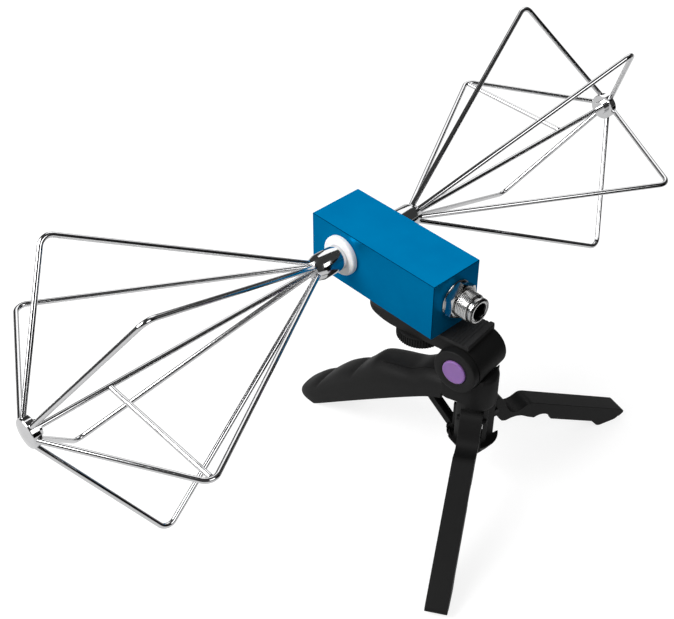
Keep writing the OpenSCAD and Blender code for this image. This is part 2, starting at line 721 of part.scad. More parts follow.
module column() color("#262627") on_column() difference() {
    union() {
        along_y(-barrel_x, disc_front, barrel_z, disc_r, disc_t);
        difference() {
            intersection() {
                translate([0, (neck_rear - neck_front) / 2, 0]) rotate([90, 0, 0])
                    linear_extrude(height = neck_front + neck_rear, center = true) neck_side();
                translate([0, 0, leg_clear]) linear_extrude(height = neck_top - leg_clear) neck_plan();
            }
            along_y(-barrel_x, disc_back, barrel_z, saddle_r, 60);
        }
        intersection() {
            translate([0, 0, neck_top - 1]) linear_extrude(height = barrel_z - neck_top + 1) neck_plan();
            along_y(-barrel_x, -neck_front, barrel_z, barrel_r + 1, neck_front + disc_back);
        }
        translate([0, 0, column_foot]) cylinder(r = core_post_r, h = neck_bottom - column_foot + 3);
        for (m = [0, 1]) mirror([0, m, 0]) rotate([0, 0, leg_spread]) leg_rails();
        box([3, -web_half, column_foot], [web_end, web_half, column_foot + 4.5]);
        difference() {
            box([-11.5, -clevis_out, strut_rail], [-3.8, clevis_out, rail_top]);
            box([-12, -clevis_in, strut_rail - 1], [-6.5, clevis_in, rail_top + 1]);
        }
        box([-4.4, -3, strut_rail], [-2.2, 3, rail_top]);
    }
    // Room for the grip's fork
    box([-neck_left - 1, -slot_half, 50], [slot_back, slot_half, grip_hinge_z]);
    box([-neck_left - 1, -slot_half, grip_hinge_z - 1], [-hinge_r, slot_half, grip_hinge_z + fork_room]);
    cross_bore(-hinge_r, grip_hinge_z, grip_knuckle_r + 0.4, 2 * slot_half);
    // Button recess and pins
    along_y(-barrel_x, disc_front - 1, barrel_z, button_r + 0.1, disc_floor - disc_front + 1);
    along_y(-barrel_x, disc_floor - 1, barrel_z, tilt_pin_r + fit, 3);
    cross_bore(-hinge_r, grip_hinge_z, hinge_pin_r + fit, 24);
    for (a = [-leg_spread, leg_spread]) rotate([0, 0, a])
        cross_bore(hinge_r, leg_hinge_z, hinge_pin_r + fit, leg_pin_len + 2 * running);
    translate([0, 0, column_foot - 1]) cylinder(r = hub_screw_r + fit, h = 12);
}

module lower_hub() color("#202021") on_column() difference() {
    union() {
        translate([0, 0, cup_foot])
            cylinder(r1 = cup_foot_r, r2 = cup_r, h = cup_edge - cup_rim - cup_foot);
        translate([0, 0, cup_edge - cup_rim]) cylinder(r = cup_r, h = cup_rim);
        translate([0, 0, cup_edge - 1])
            cylinder(r1 = cup_r - 1, r2 = cup_r - 3, h = cup_top - cup_edge + 1);
        for (m = [0, 1]) mirror([0, m, 0]) {
            box([-strut_x - 1, clevis_in, cup_foot + 8], [-strut_x + 3, clevis_out, strut_z]);
            translate([0, (clevis_in + clevis_out) / 2, 0])
                cross_bore(-strut_x, strut_z, clevis_r, clevis_out - clevis_in);
        }
    }
    // Room for the folded legs, the strut and the screw
    for (a = [-leg_spread, leg_spread]) rotate([0, 0, a])
        box([5.5, -leg_w / 2 - 0.8, 0], [30, leg_w / 2 + 0.8, cup_top + 10]);
    for (m = [0, 1]) mirror([0, m, 0]) box([-30, grip_hollow - gap, 0], [-8.8, 30, cup_top + 10]);
    box([-30, -clevis_in, strut_z - 4.7], [-strut_x + 5, clevis_in, strut_z + 10]);
    cross_bore(-strut_x, strut_z, strut_pin_r + fit, 20);
    translate([0, 0, cup_foot - 1]) cylinder(r = hub_screw_r + fit, h = 40);
    translate([0, 0, cup_foot - 1]) cylinder(r = hub_screw_head_r + 0.1, h = 3.5);
}

module hub_screw() color("#8E9092") on_column() difference() {
    union() {
        translate([0, 0, cup_foot + 0.4]) cylinder(r = hub_screw_head_r, h = 2.1);
        translate([0, 0, cup_foot + 1]) cylinder(r = hub_screw_r, h = 20);
    }
    translate([0, 0, cup_foot]) cylinder(r = 1.3, h = 1.8, $fn = 6);
}

// Grip leg: a scalloped shell with a hinge fork
module grip_shell() {
    n = grip_arc + 3;
    m = len(grip_steps) - 1;
    polyhedron(points = [for (s = grip_steps) each grip_section(s)],
        faces = concat([[for (j = [0:n - 1]) j]],
            [for (i = [0:m - 1], j = [0:n - 1])
                let (a = i * n, b = a + n, k = (j + 1) % n) [a + j, b + j, b + k]],
            [for (i = [0:m - 1], j = [0:n - 1])
                let (a = i * n, b = a + n, k = (j + 1) % n) [a + j, b + k, a + k]],
            [[for (j = [n - 1:-1:0]) m * n + j]]));
}

module grip_leg() color("#262627") on_grip() difference() {
    union() {
        difference() {
            intersection() {
                grip_shell();
                box([root_r, -20, 0], [140, 20, 100]);
            }
            profile([[17, 66], [28, 62.5], [40, 58], [52, 53], [66, 42], [77, 33], [90, 23.5], [100, 14],
                     [103, 9], [103, -5], [17, -5]], 2 * grip_hollow);
            profile([[8, 69.4], [20, 69.4], [27, 68.3], [40, 60], [40, 20], [8, 20]], strut_w + 1.2);
        }
        for (m = [-1, 1]) translate([0, m * (grip_fork_w - grip_cheek_t) / 2, 0]) {
            cross_bore(hinge_r, grip_hinge_z, grip_knuckle_r, grip_cheek_t);
            profile([[hinge_r, grip_hinge_z + 4.8], [16, grip_hinge_z + 6], [18, grip_hinge_z + 3.5],
                     [18, grip_hinge_z - 5.5], [16, grip_hinge_z - 6.5], [hinge_r, grip_hinge_z - 4.8]],
                    grip_cheek_t);
        }
    }
    cross_bore(hinge_r, grip_hinge_z, hinge_pin_r + running, 40);
}

module straight_leg() {
    bend_z = leg_bend[1];
    top_edge = leg_bend_r + 2;
    difference() {
        union() {
            cross_bore(hinge_r, leg_hinge_z, knuckle_r, leg_w);
            profile(concat([[hinge_r, leg_hinge_z + 4], [13.6, leg_hinge_z + 3], [15.2, leg_hinge_z - 2.5],
                            [17.5, bend_z - 0.8], [31, bend_z - 0.6], leg_bend, [leg_toe, leg_top(leg_toe)],
                            [leg_reach, 4.4], [leg_reach, 3], [leg_reach - 2.6, 1.2]],
                           arc(leg_reach - 7.1, 4.5, 4.5, -45, -90, 4),
                           arc(leg_reach - 16.6, 5, 5, -90, -150, 5),
                           [[leg_heel, leg_top(leg_heel) - leg_depth], [51, leg_top(51) - leg_depth]],
                           arc(41.5, bend_z - 22.5, 9.5, 13, 111, 8),
                           [[leg_bend_r, bend_z - leg_depth], [26, bend_z - 8], [21, bend_z - 9.5],
                            [13.5, leg_hinge_z - 8], [hinge_r, leg_hinge_z - 4]]), leg_w);
        }
        // The channel underneath, closed round the hinge
        profile([[0, 60], [hinge_r - 3.1, 60], [hinge_r - 3.1, leg_hinge_z - 3.4],
                 [hinge_r + 2.7, leg_hinge_z - 3.8], [14.6, bend_z - 2.7], [17.5, bend_z - 3.2],
                 [leg_bend_r, bend_z - leg_wall], [leg_heel, leg_top(leg_heel) - leg_wall],
                 [leg_heel, -5], [0, -5]], channel_w);
        profile([[26.4, bend_z], [28.2, bend_z - 1.6], [30, bend_z]], leg_w + 2);
        cross_bore(hinge_r, leg_hinge_z, hinge_pin_r + running, 40);
        for (m = [-1, 1]) translate([top_edge, m * leg_w / 2, leg_top(top_edge)])
            rotate([0, leg_slope, 0]) rotate([45, 0, 0])
                box([0, -1.1, -1.1], [(leg_toe - leg_bend_r) / cos(leg_slope), 1.1, 1.1]);
    }
}
module left_leg() color("#262627") on_left() straight_leg();
module right_leg() color("#262627") on_right() straight_leg();

module grip_pin() color("#8E9092") on_grip() cross_bore(hinge_r, grip_hinge_z, hinge_pin_r, grip_pin_len);
module left_pin() color("#8E9092") on_left() cross_bore(hinge_r, leg_hinge_z, hinge_pin_r, leg_pin_len);
module right_pin() color("#8E9092") on_right() cross_bore(hinge_r, leg_hinge_z, hinge_pin_r, leg_pin_len);

module on_strut() { on_grip() translate([strut_x, 0, strut_z]) rotate([0, -strut_slope, 0]) children(); }
module grip_strut() color("#202021") on_strut() difference() {
    union() {
        cross_bore(0, 0, 2.6, strut_w);
        cross_bore(strut_len, 0, strut_tip_r, strut_w);
        box([0, -strut_w / 2, -2], [strut_len, strut_w / 2, 2]);
    }
    cross_bore(0, 0, strut_pin_r + running, strut_w + 2);
    box([5, -1.4, 1.2], [strut_len - 4, 1.4, 3]);
}

module strut_pin() color("#8E9092") on_grip()
    cross_bore(strut_x, strut_z, strut_pin_r, 2 * clevis_out - 0.4);

housing();
base_plate();
base_screws();
connector_body();
connector_washer();
connector_nut();
connector_insulator();
connector_pin();
balun_board();
balun_core();
left_lead();
right_lead();
left_bush();
left_hub();
left_stud_nut();
left_rod_1();
left_rod_2();
left_rod_3();
left_rod_4();
left_rod_5();
left_rod_6();
left_centre_rod();
left_cross_rod();
left_cap();
right_bush();
right_hub();
right_stud_nut();
right_rod_1();
right_rod_2();
right_rod_3();
right_rod_4();
right_rod_5();
right_rod_6();
right_centre_rod();
right_cross_rod();
right_cap();
head_plate();
plate_pad();
thumbwheel();
column();
tilt_pin();
lock_button();
button_spring();
lower_hub();
hub_screw();
grip_leg();
left_leg();
right_leg();
grip_pin();
left_pin();
right_pin();
grip_strut();
strut_pin();
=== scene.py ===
import math

import bmesh
import bpy
from mathutils import Matrix, Vector


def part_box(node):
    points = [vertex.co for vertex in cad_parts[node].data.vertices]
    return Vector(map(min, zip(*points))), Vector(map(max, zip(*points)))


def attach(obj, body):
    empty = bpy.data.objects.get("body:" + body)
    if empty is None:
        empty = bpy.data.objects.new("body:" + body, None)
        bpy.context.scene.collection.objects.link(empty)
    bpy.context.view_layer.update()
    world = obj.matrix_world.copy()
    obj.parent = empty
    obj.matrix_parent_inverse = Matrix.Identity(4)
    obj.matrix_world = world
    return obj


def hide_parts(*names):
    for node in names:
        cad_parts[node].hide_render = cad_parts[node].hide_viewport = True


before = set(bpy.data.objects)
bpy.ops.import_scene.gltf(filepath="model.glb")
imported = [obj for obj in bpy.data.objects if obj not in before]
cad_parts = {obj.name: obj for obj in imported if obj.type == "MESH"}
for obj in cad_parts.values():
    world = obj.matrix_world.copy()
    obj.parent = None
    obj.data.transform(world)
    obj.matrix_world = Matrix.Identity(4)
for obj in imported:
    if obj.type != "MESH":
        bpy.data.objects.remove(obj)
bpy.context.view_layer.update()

# The studio: a white paper floor under a dim even sky, lit by three soft lamps.
# Past the lamps and the floor the room is dark, so that the bright metal has something dark to mirror.
scene = bpy.context.scene
scene.view_settings.view_transform = "Standard"
# The camera was solved from the bends and tips of the cages and the corners of the housing
EYE = Vector((0.35565, -0.38803, 0.52152))
LOOK = Vector((-0.562082, 0.529909, -0.635028))
LENS_MM = 65.30
SENSOR_MM = 36
WHITE = "#FFFFFF"
LIT_SKY = 0.3
DARK_ROOM = 0.05
WHITE_SKY = 1.0


def paint(hex_colour):
    """Linear RGBA of an sRGB hex colour."""
    def linear(value):
        return value / 12.92 if value <= 0.04045 else ((value + 0.055) / 1.055) ** 2.4
    return [linear(int(hex_colour[i:i + 2], 16) / 255) for i in (1, 3, 5)] + [1.0]


def fill(tree, node, sockets):
    """Sets or links the sockets of a node, by name or number."""
    for key, value in sockets.items():
        if isinstance(value, bpy.types.NodeSocket):
            tree.links.new(value, node.inputs[key])
        else:
            node.inputs[key].default_value = value


def add(tree, kind, sockets=None, **settings):
    """Adds a node, makes its settings and fills its sockets."""
    node = tree.nodes.new(kind)
    for key, value in settings.items():
        setattr(node, key, value)
    fill(tree, node, sockets or {})
    return node


camera = bpy.data.objects.new("camera", bpy.data.cameras.new("camera"))
camera.data.sensor_fit = "HORIZONTAL"
camera.data.sensor_width = SENSOR_MM
camera.data.lens = LENS_MM
camera.data.clip_start = 0.01
camera.location = EYE
camera.rotation_euler = LOOK.to_track_quat("-Z", "Y").to_euler()
scene.collection.objects.link(camera)
scene.camera = camera

world = bpy.data.worlds.new("studio")
scene.world = world
world.use_nodes = True
sky = world.node_tree
sky.nodes.clear()


def even_sky(strength):
    """A white sky without clouds or sun."""
    return add(sky, "ShaderNodeBackground", {"Color": paint(WHITE), "Strength": strength}).outputs[0]


rays = add(sky, "ShaderNodeLightPath").outputs
shown = add(sky, "ShaderNodeMath", {0: rays["Is Camera Ray"], 1: rays["Is Transmission Ray"]},
            operation="MAXIMUM")
room = add(sky, "ShaderNodeMixShader",
           {0: rays["Is Glossy Ray"], 1: even_sky(LIT_SKY), 2: even_sky(DARK_ROOM)})
backdrop = add(sky, "ShaderNodeMixShader", {0: shown.outputs[0], 1: room.outputs[0], 2: even_sky(WHITE_SKY)})
add(sky, "ShaderNodeOutputWorld", {"Surface": backdrop.outputs[0]})


def softbox(name, place, aim, size, power):
    """A square soft lamp that looks at a point."""
    lamp = bpy.data.objects.new(name, bpy.data.lights.new(name, "AREA"))
    lamp.data.shape = "SQUARE"
    lamp.data.size = size
    lamp.data.energy = power
    lamp.location = place
    lamp.rotation_euler = (Vector(aim) - lamp.location).to_track_quat("-Z", "Y").to_euler()
    scene.collection.objects.link(lamp)


softbox("front_softbox", place=(-0.50, -0.95, 0.95), aim=(0.0, 0.0, 0.1), size=0.9, power=21.5)
softbox("back_softbox", place=(-0.80, 0.85, 1.05), aim=(0.0, 0.0, 0.1), size=1.2, power=6.5)
softbox("right_softbox", place=(0.85, -0.05, 0.75), aim=(0.1, 0.0, 0.08), size=0.5, power=2.2)


def sheet(name, corners, material):
    """A flat four-cornered sheet."""
    mesh = bpy.data.meshes.new(name)
    mesh.from_pydata(corners, [], [(0, 1, 2, 3)])
    mesh.materials.append(material)
    made = bpy.data.objects.new(name, mesh)
    scene.collection.objects.link(made)
    return made


# Paper: matt and grey in the light, lifted to white for the camera and less so for the mirrors
PAPER_GLOW = 0.8
PAPER_MIRRORED = 0.45
FLOOR_HALF = 6
paper = bpy.data.materials.new("white paper")
paper.use_nodes = True
tree = paper.node_tree
tree.nodes.clear()
rays = add(tree, "ShaderNodeLightPath").outputs
mirrored = add(tree, "ShaderNodeMath", {0: rays["Is Glossy Ray"], 1: PAPER_MIRRORED}, operation="MULTIPLY")
level = add(tree, "ShaderNodeMath", {0: rays["Is Camera Ray"], 1: PAPER_GLOW, 2: mirrored.outputs[0]},
            operation="MULTIPLY_ADD")
matt = add(tree, "ShaderNodeBsdfDiffuse", {"Color": paint("#909090")})
glow = add(tree, "ShaderNodeEmission", {"Color": paint(WHITE), "Strength": level.outputs[0]})
lit = add(tree, "ShaderNodeAddShader", {0: matt.outputs[0], 1: glow.outputs[0]})
add(tree, "ShaderNodeOutputMaterial", {"Surface": lit.outputs[0]})
floor_corners = [(x * FLOOR_HALF, y * FLOOR_HALF, 0) for x, y in ((-1, -1), (1, -1), (1, 1), (-1, 1))]
floor = sheet("floor", floor_corners, paper)

# Black card: two sheets that only the mirrors see, one lying and one standing beyond the socket
black_card = bpy.data.materials.new("matt black card")
black_card.use_nodes = True
fill(black_card.node_tree, black_card.node_tree.nodes["Principled BSDF"],
     {"Base Color": paint("#080808"), "Roughness": 0.9, "Specular IOR Level": 0.0})
lying = [(0.14, 0.03, 0.002), (1.6, 0.03, 0.002), (1.6, 2.0, 0.002), (0.14, 2.0, 0.002)]
standing = [(1.6, -0.5, 0.0), (1.6, 2.0, 0.0), (1.6, 2.0, 1.4), (1.6, -0.5, 1.4)]
for name, corners in (("floor_card", lying), ("side_card", standing)):
    card = sheet(name, corners, black_card)
    card.visible_camera = False
    card.visible_diffuse = False
    card.visible_shadow = False


# The balun housing: a box milled from aluminium and closed from below by a screwed base plate.
# Both are bead blasted and anodised blue, with crisp edges that are only just broken.
MM = 0.001
WELD = 0.002
FLAT_FACE = 0.95


def start_finish(name):
    """An empty material with its Principled shader and its object coordinates."""
    material = bpy.data.materials.new(name)
    material.use_nodes = True
    tree = material.node_tree
    tree.nodes.clear()
    shader = add(tree, "ShaderNodeBsdfPrincipled")
    add(tree, "ShaderNodeOutputMaterial", {"Surface": shader.outputs[0]})
    return material, tree, shader, add(tree, "ShaderNodeTexCoord").outputs["Object"]


def noise(tree, place, grain, detail):
    """A cloudy pattern with a grain in millimetres."""
    sockets = {"Vector": place, "Scale": 1 / (grain * MM), "Detail": detail}
    return add(tree, "ShaderNodeTexNoise", sockets).outputs["Fac"]


def tones(tree, pattern, dark, light, ends=(0.0, 1.0)):
    """A colour that follows a pattern from a dark tone to a light one."""
    ramp = add(tree, "ShaderNodeValToRGB", {"Fac": pattern})
    for stop, end, tone in zip(ramp.color_ramp.elements, ends, (dark, light)):
        stop.position = end
        stop.color = paint(tone)
    return ramp.outputs["Color"]


def between(tree, pattern, low, high):
    """A number that follows a pattern between two ends."""
    return add(tree, "ShaderNodeMapRange", {"Value": pattern, "To Min": low, "To Max": high}).outputs[0]


def bumps(tree, pattern, strength, depth):
    """Surface grain that follows a pattern, with its depth in millimetres."""
    sockets = {"Strength": strength, "Distance": depth * MM, "Height": pattern}
    return add(tree, "ShaderNodeBump", sockets).outputs[0]


def shade(mesh, crease):
    """Shades a mesh smooth, with sharp edges where its faces meet at more than an angle."""
    mesh.shade_smooth()
    mesh.set_sharp_from_angle(angle=math.radians(crease))


def stand(name, mesh, crease):
    """Puts a mesh into the scene."""
    shade(mesh, crease)
    made = bpy.data.objects.new(name, mesh)
    scene.collection.objects.link(made)
    return made


def soften(made, radius, crease):
    """Breaks the edges of a piece that are sharper than an angle."""
    bevel = made.modifiers.new("broken edges", "BEVEL")
    bevel.width = radius * MM
    bevel.segments = 2
    bevel.limit_method = "ANGLE"
    bevel.angle_limit = math.radians(crease)
    bevel.use_clamp_overlap = True
    bevel.harden_normals = True


def softened(name, node, material, radius=0, crease=32, moved=None):
    """A copy of a CAD node, its edges broken where a radius is given; moved shifts single points first."""
    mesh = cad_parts[node].data.copy()
    mesh.name = name
    shape = bmesh.new()
    shape.from_mesh(mesh)
    bmesh.ops.remove_doubles(shape, verts=shape.verts, dist=WELD * MM)
    if moved:
        for vertex in shape.verts:
            vertex.co = moved(vertex.co)
    shape.to_mesh(mesh)
    shape.free()
    if mesh.has_custom_normals:
        mesh.attributes.remove(mesh.attributes["custom_normal"])
    mesh.materials.clear()
    mesh.materials.append(material)
    made = stand(name, mesh, crease)
    if radius:
        soften(made, radius, crease)
    return made


def fit(made, body, slot, *nodes):
    """Says what a piece rides on and stands for; its slot is not used."""
    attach(made, body)
    if nodes:
        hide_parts(*nodes)


# Anodised aluminium: dyed oxide over blasted metal, a satin face with a soft mirror in it
anodised, tree, shader, place = start_finish("anodised aluminium blue")
cloud = noise(tree, place, grain=22.22, detail=2.0)
# The blasted grain is about 0.1 mm; it is drawn at 0.7 mm so that it shows
blast = noise(tree, place, grain=0.7, detail=3.0)
fill(tree, shader, {"Base Color": tones(tree, cloud, "#006C9E", "#0072A4", ends=(0.3, 0.7)),
                    "Roughness": between(tree, blast, 0.28, 0.36),
                    "Normal": bumps(tree, blast, strength=0.06, depth=0.05),
                    "Metallic": 0.55, "Specular IOR Level": 0.0, "Specular Tint": paint("#0074A8")})

# Painted shade along the milled edges: a thin dark line round every face, standing in for the shade at the
# edges and seams
edge_shade, tree, shader, place = start_finish("anodised aluminium painted edge shade")
edge_mottle = noise(tree, place, grain=2, detail=2.0)
fill(tree, shader, {"Base Color": tones(tree, edge_mottle, "#00223A", "#003352"),
                    "Metallic": 0.4, "Roughness": 0.5, "Specular IOR Level": 0.0})

for name, node in (("housing_shell", "housing"), ("base_lid", "base_plate")):
    shell = softened(name, node, anodised)
    # The chamfers between the flat faces take the painted edge shade
    shell.data.materials.append(edge_shade)
    for face in shell.data.polygons:
        if max(abs(part) for part in face.normal) < FLAT_FACE:
            face.material_index = 1
    fit(shell, "head", "blue_anodised", node)


# The small fasteners: turned and rolled steel, zinc plated, but for the blackened pins of the legs.
# Four screws sit flush in the base plate, and the pins are pressed through the mouldings.
def wear(finish, *nodes):
    """Puts a finish on CAD nodes whose shape is kept."""
    for node in nodes:
        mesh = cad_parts[node].data
        mesh.materials.clear()
        mesh.materials.append(finish)


# Zinc plate: a cool grey metal with a slightly cloudy gloss
zinc, tree, shader, place = start_finish("zinc plated steel")
cloud = noise(tree, place, grain=1.5, detail=3.0)
fill(tree, shader, {"Base Color": tones(tree, cloud, "#9EA2A6", "#BEC1C4"),
                    "Roughness": between(tree, cloud, 0.25, 0.4), "Metallic": 1.0})
wear(zinc, "base_screws", "tilt_pin", "button_spring", "hub_screw", "left_stud_nut", "right_stud_nut")

# Blackened steel of the leg pins: dark, oily, only faintly metallic
blackened, tree, shader, place = start_finish("blackened steel")
cloud = noise(tree, place, grain=1.2, detail=3.0)
fill(tree, shader, {"Base Color": tones(tree, cloud, "#161617", "#232324"),
                    "Metallic": 0.6, "Roughness": 0.5})
wear(blackened, "grip_pin", "left_pin", "right_pin", "strut_pin")


# The coaxial socket: a body turned from brass and nickel plated, with a fine outer thread,
# held from outside by a toothed lock washer and a hexagon nut. Inside sit a white bead and a contact.
def middle(node):
    """Middle of a CAD node's box."""
    low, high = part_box(node)
    return (low + high) / 2


AXIS = Vector((middle("left_hub").x, 0, middle("left_hub").z))
END_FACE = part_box("housing")[1].x
SOCKET = (Matrix.Translation((END_FACE, 0, AXIS.z)) @ Matrix.Rotation(math.radians(90), 4, "Y")
          @ Matrix.Scale(MM, 4))


def ring(radius, height, count=96):
    """Points of a level circle; the radius and the height may be functions of the angle."""
    points = []
    for i in range(count):
        turn = 2 * math.pi * i / count
        r = radius(turn) if callable(radius) else radius
        z = height(turn) if callable(height) else height
        points.append((r * math.cos(turn), r * math.sin(turn), z))
    return points


def loft(rings, loop=False):
    """Vertices and faces between rings of equal length. A loop joins the last ring to the first."""
    count = len(rings[0])
    points = [point for one in rings for point in one]
    faces = []
    spans = len(rings) if loop else len(rings) - 1
    for i in range(spans):
        a = i * count
        b = (i + 1) % len(rings) * count
        for j in range(count):
            k = (j + 1) % count
            faces.append((a + j, a + k, b + k, b + j))
    if not loop:
        faces.append(tuple(range(count))[::-1])
        faces.append(tuple(range(len(points) - count, len(points))))
    return points, faces


def turned(profile, loop=False):
    """A lathe shape from its (radius, height) profile."""
    return loft([ring(radius, height) for radius, height in profile], loop)


def piece(name, shapes, place, material, crease=35):
    """A closed mesh of one or more shapes in millimetres, moved to its place."""
    shape = bmesh.new()
    for points, faces in shapes:
        corners = [shape.verts.new(point) for point in points]
        for face in faces:
            shape.faces.new([corners[i] for i in face])
    bmesh.ops.remove_doubles(shape, verts=shape.verts, dist=WELD)
    bmesh.ops.recalc_face_normals(shape, faces=shape.faces)
    mesh = bpy.data.meshes.new(name)
    shape.to_mesh(mesh)
    shape.free()
    mesh.transform(place)
    mesh.materials.append(material)
    return stand(name, mesh, crease)


# Nickel plate on turned brass: bright and almost neutral, its gloss a little uneven
nickel, tree, shader, place = start_finish("nickel plated brass")
turning = noise(tree, place, grain=0.8, detail=2.0)
fill(tree, shader, {"Base Color": tones(tree, turning, "#C6C6C6", "#DCDCDB"),
                    "Roughness": between(tree, turning, 0.10, 0.20), "Metallic": 1.0})

# The socket's own finish: the same plate, with painted shade down in the thread, in the groove and in the
# bore
PAINTED_SHADE_FROM = 4.0
PAINTED_SHADE_TO = 8.0
# Stops of the painted shade, from the bore out past the thread crests
PAINTED_SHADE = [(0.0, "#303030"), (0.24, "#3A3A3A"), (0.27, WHITE), (0.66, WHITE), (0.69, "#2A2A2A"),
         (0.78, "#6A6A6A"), (0.92, WHITE)]
shaded_nickel, tree, shader, place = start_finish("nickel plated thread")
turning = noise(tree, place, grain=0.8, detail=2.0)
from_axis = add(tree, "ShaderNodeVectorMath", {0: place, 1: AXIS}, operation="SUBTRACT")
across = add(tree, "ShaderNodeVectorMath", {0: from_axis.outputs[0], 1: (0.0, 1.0, 1.0)},
             operation="MULTIPLY")
radius = add(tree, "ShaderNodeVectorMath", {0: across.outputs[0]}, operation="LENGTH")
depth = add(tree, "ShaderNodeMapRange",
            {"Value": radius.outputs["Value"], "From Min": PAINTED_SHADE_FROM * MM, "From Max": PAINTED_SHADE_TO * MM})
# The painted shade follows the distance from the socket's axis
shade_ramp = add(tree, "ShaderNodeValToRGB", {"Fac": depth.outputs[0]})
for spot, tone in PAINTED_SHADE:
    stop = shade_ramp.color_ramp.elements.new(spot) if 0 < spot else shade_ramp.color_ramp.elements[0]
    stop.color = paint(tone)
plate_tone = tones(tree, turning, "#D2D2D2", "#E6E6E5")
shaded = add(tree, "ShaderNodeMix", {"Factor": 1.0, 6: plate_tone, 7: shade_ramp.outputs["Color"]},
             data_type="RGBA", blend_type="MULTIPLY")
fill(tree, shader, {"Base Color": shaded.outputs[2], "Metallic": 1.0, "Roughness": 0.22})

# Heights run outward from the housing's end face
SOCKET_BACK = -5.5
WALL_BACK = -3.0
FLANGE_R = 9.6
SHANK_R = 7.9
NUT_FACE = 5.8
THREAD_END = 13.5
THREAD_R = 7.94
THREAD_DEPTH = 0.8
THREAD_PITCH = 25.4 / 24
THREAD_RUNOUT = 0.6
THREAD_FLANK = 1.25
THREAD_STEPS = 72
NECK_BEHIND_LIP = [(6.7, 0.0), (6.7, 0.9), (7.2, 1.1), (7.45, 1.4)]
MOUTH = 17.0
SEAT_R = 4.28
LIP_AND_BORE = [(7.45, 0.7), (7.1, 0.2), (6.6, 0.0), (5.3, 0.0), (4.9, 0.3), (4.4, 1.0), (4.4, 9.0),
                (SEAT_R, 9.0)]


def thread_radius(height):
    """Radius of the thread at a height, as a function of the turn."""
    def at(turn):
        phase = (height / THREAD_PITCH - turn / (2 * math.pi)) % 1.0
        rise = 1 - abs(2 * phase - 1)
        ends = min(1.0, (height - NUT_FACE) / THREAD_RUNOUT, (THREAD_END - height) / THREAD_RUNOUT)
        return THREAD_R - THREAD_DEPTH + THREAD_DEPTH * min(1.0, THREAD_FLANK * rise) * max(0.0, ends)
    return at


rings = [ring(SEAT_R, SOCKET_BACK), ring(FLANGE_R, SOCKET_BACK), ring(FLANGE_R, WALL_BACK),
         ring(SHANK_R, WALL_BACK), ring(SHANK_R, NUT_FACE)]
for i in range(THREAD_STEPS + 1):
    height = NUT_FACE + (THREAD_END - NUT_FACE) * i / THREAD_STEPS
    rings.append(ring(thread_radius(height), height))
rings += [ring(r, THREAD_END + up) for r, up in NECK_BEHIND_LIP]
rings += [ring(r, MOUTH - down) for r, down in LIP_AND_BORE]
body = piece("socket_body", [loft(rings, loop=True)], SOCKET, shaded_nickel, crease=50)
fit(body, "head", "nickel", "connector_body")

NUT_FLATS = 19.0
NUT_FROM = 0.8
NUT_CHAMFER_R = NUT_FLATS / 2 * 0.99
NUT_CHAMFER = math.radians(30)
NUT_BORE_R = 7.97
NUT_MOUTH_R = 8.5
NUT_MOUTH_DEPTH = 0.5


def hexagon(turn):
    """Radius of the nut's outline at a turn, with a flat toward each side of the housing."""
    return NUT_FLATS / 2 / math.cos(turn % (math.pi / 3) - math.pi / 6)


def corner_drop(turn):
    """How far the chamfer has come down where the flats reach out past it."""
    return max(0.0, hexagon(turn) - NUT_CHAMFER_R) * math.tan(NUT_CHAMFER)


nut_rings = [ring(NUT_BORE_R, NUT_FROM), ring(NUT_CHAMFER_R, NUT_FROM),
             ring(hexagon, lambda turn: NUT_FROM + corner_drop(turn)),
             ring(hexagon, lambda turn: NUT_FACE - corner_drop(turn)),
             ring(NUT_CHAMFER_R, NUT_FACE), ring(NUT_MOUTH_R, NUT_FACE),
             ring(NUT_BORE_R, NUT_FACE - NUT_MOUTH_DEPTH)]
nut = piece("socket_nut", [loft(nut_rings, loop=True)], SOCKET, nickel, crease=25)
fit(nut, "head", "nickel", "connector_nut")


def geometry_tree(name, inputs):
    """A Geometry Nodes tree with a geometry, the named inputs and a material."""
    tree = bpy.data.node_groups.new(name, "GeometryNodeTree")
    tree.interface.new_socket("Geometry", in_out="INPUT", socket_type="NodeSocketGeometry")
    for label, kind in inputs.items():
        tree.interface.new_socket(label, in_out="INPUT", socket_type=kind)
    tree.interface.new_socket("Material", in_out="INPUT", socket_type="NodeSocketMaterial")
    tree.interface.new_socket("Geometry", in_out="OUTPUT", socket_type="NodeSocketGeometry")
    return tree, add(tree, "NodeGroupInput").outputs


def end_tree(tree, inputs, geometry):
    """Ends a tree in real geometry with its material."""
    real = add(tree, "GeometryNodeRealizeInstances", {"Geometry": geometry})
    dressed = add(tree, "GeometryNodeSetMaterial",
                  {"Geometry": real.outputs[0], "Material": inputs["Material"]})
    add(tree, "NodeGroupOutput", {"Geometry": dressed.outputs[0]})


def grown(name, points, edges, faces, tree, values, place):
    """Runs a tree on a small seed mesh and keeps the result as a plain mesh at its place."""
    seed_mesh = bpy.data.meshes.new(name)
    seed_mesh.from_pydata(points, edges, faces)
    seed = bpy.data.objects.new(name, seed_mesh)
    scene.collection.objects.link(seed)
    modifier = seed.modifiers.new(tree.name, "NODES")
    modifier.node_group = tree
    for item in tree.interface.items_tree:
        if item.in_out == "INPUT" and item.name in values:
            modifier[item.identifier] = values[item.name]
    mesh = bpy.data.meshes.new_from_object(seed.evaluated_get(bpy.context.evaluated_depsgraph_get()))
    bpy.data.objects.remove(seed)
    mesh.transform(place)
    return stand(name, mesh, crease=35)


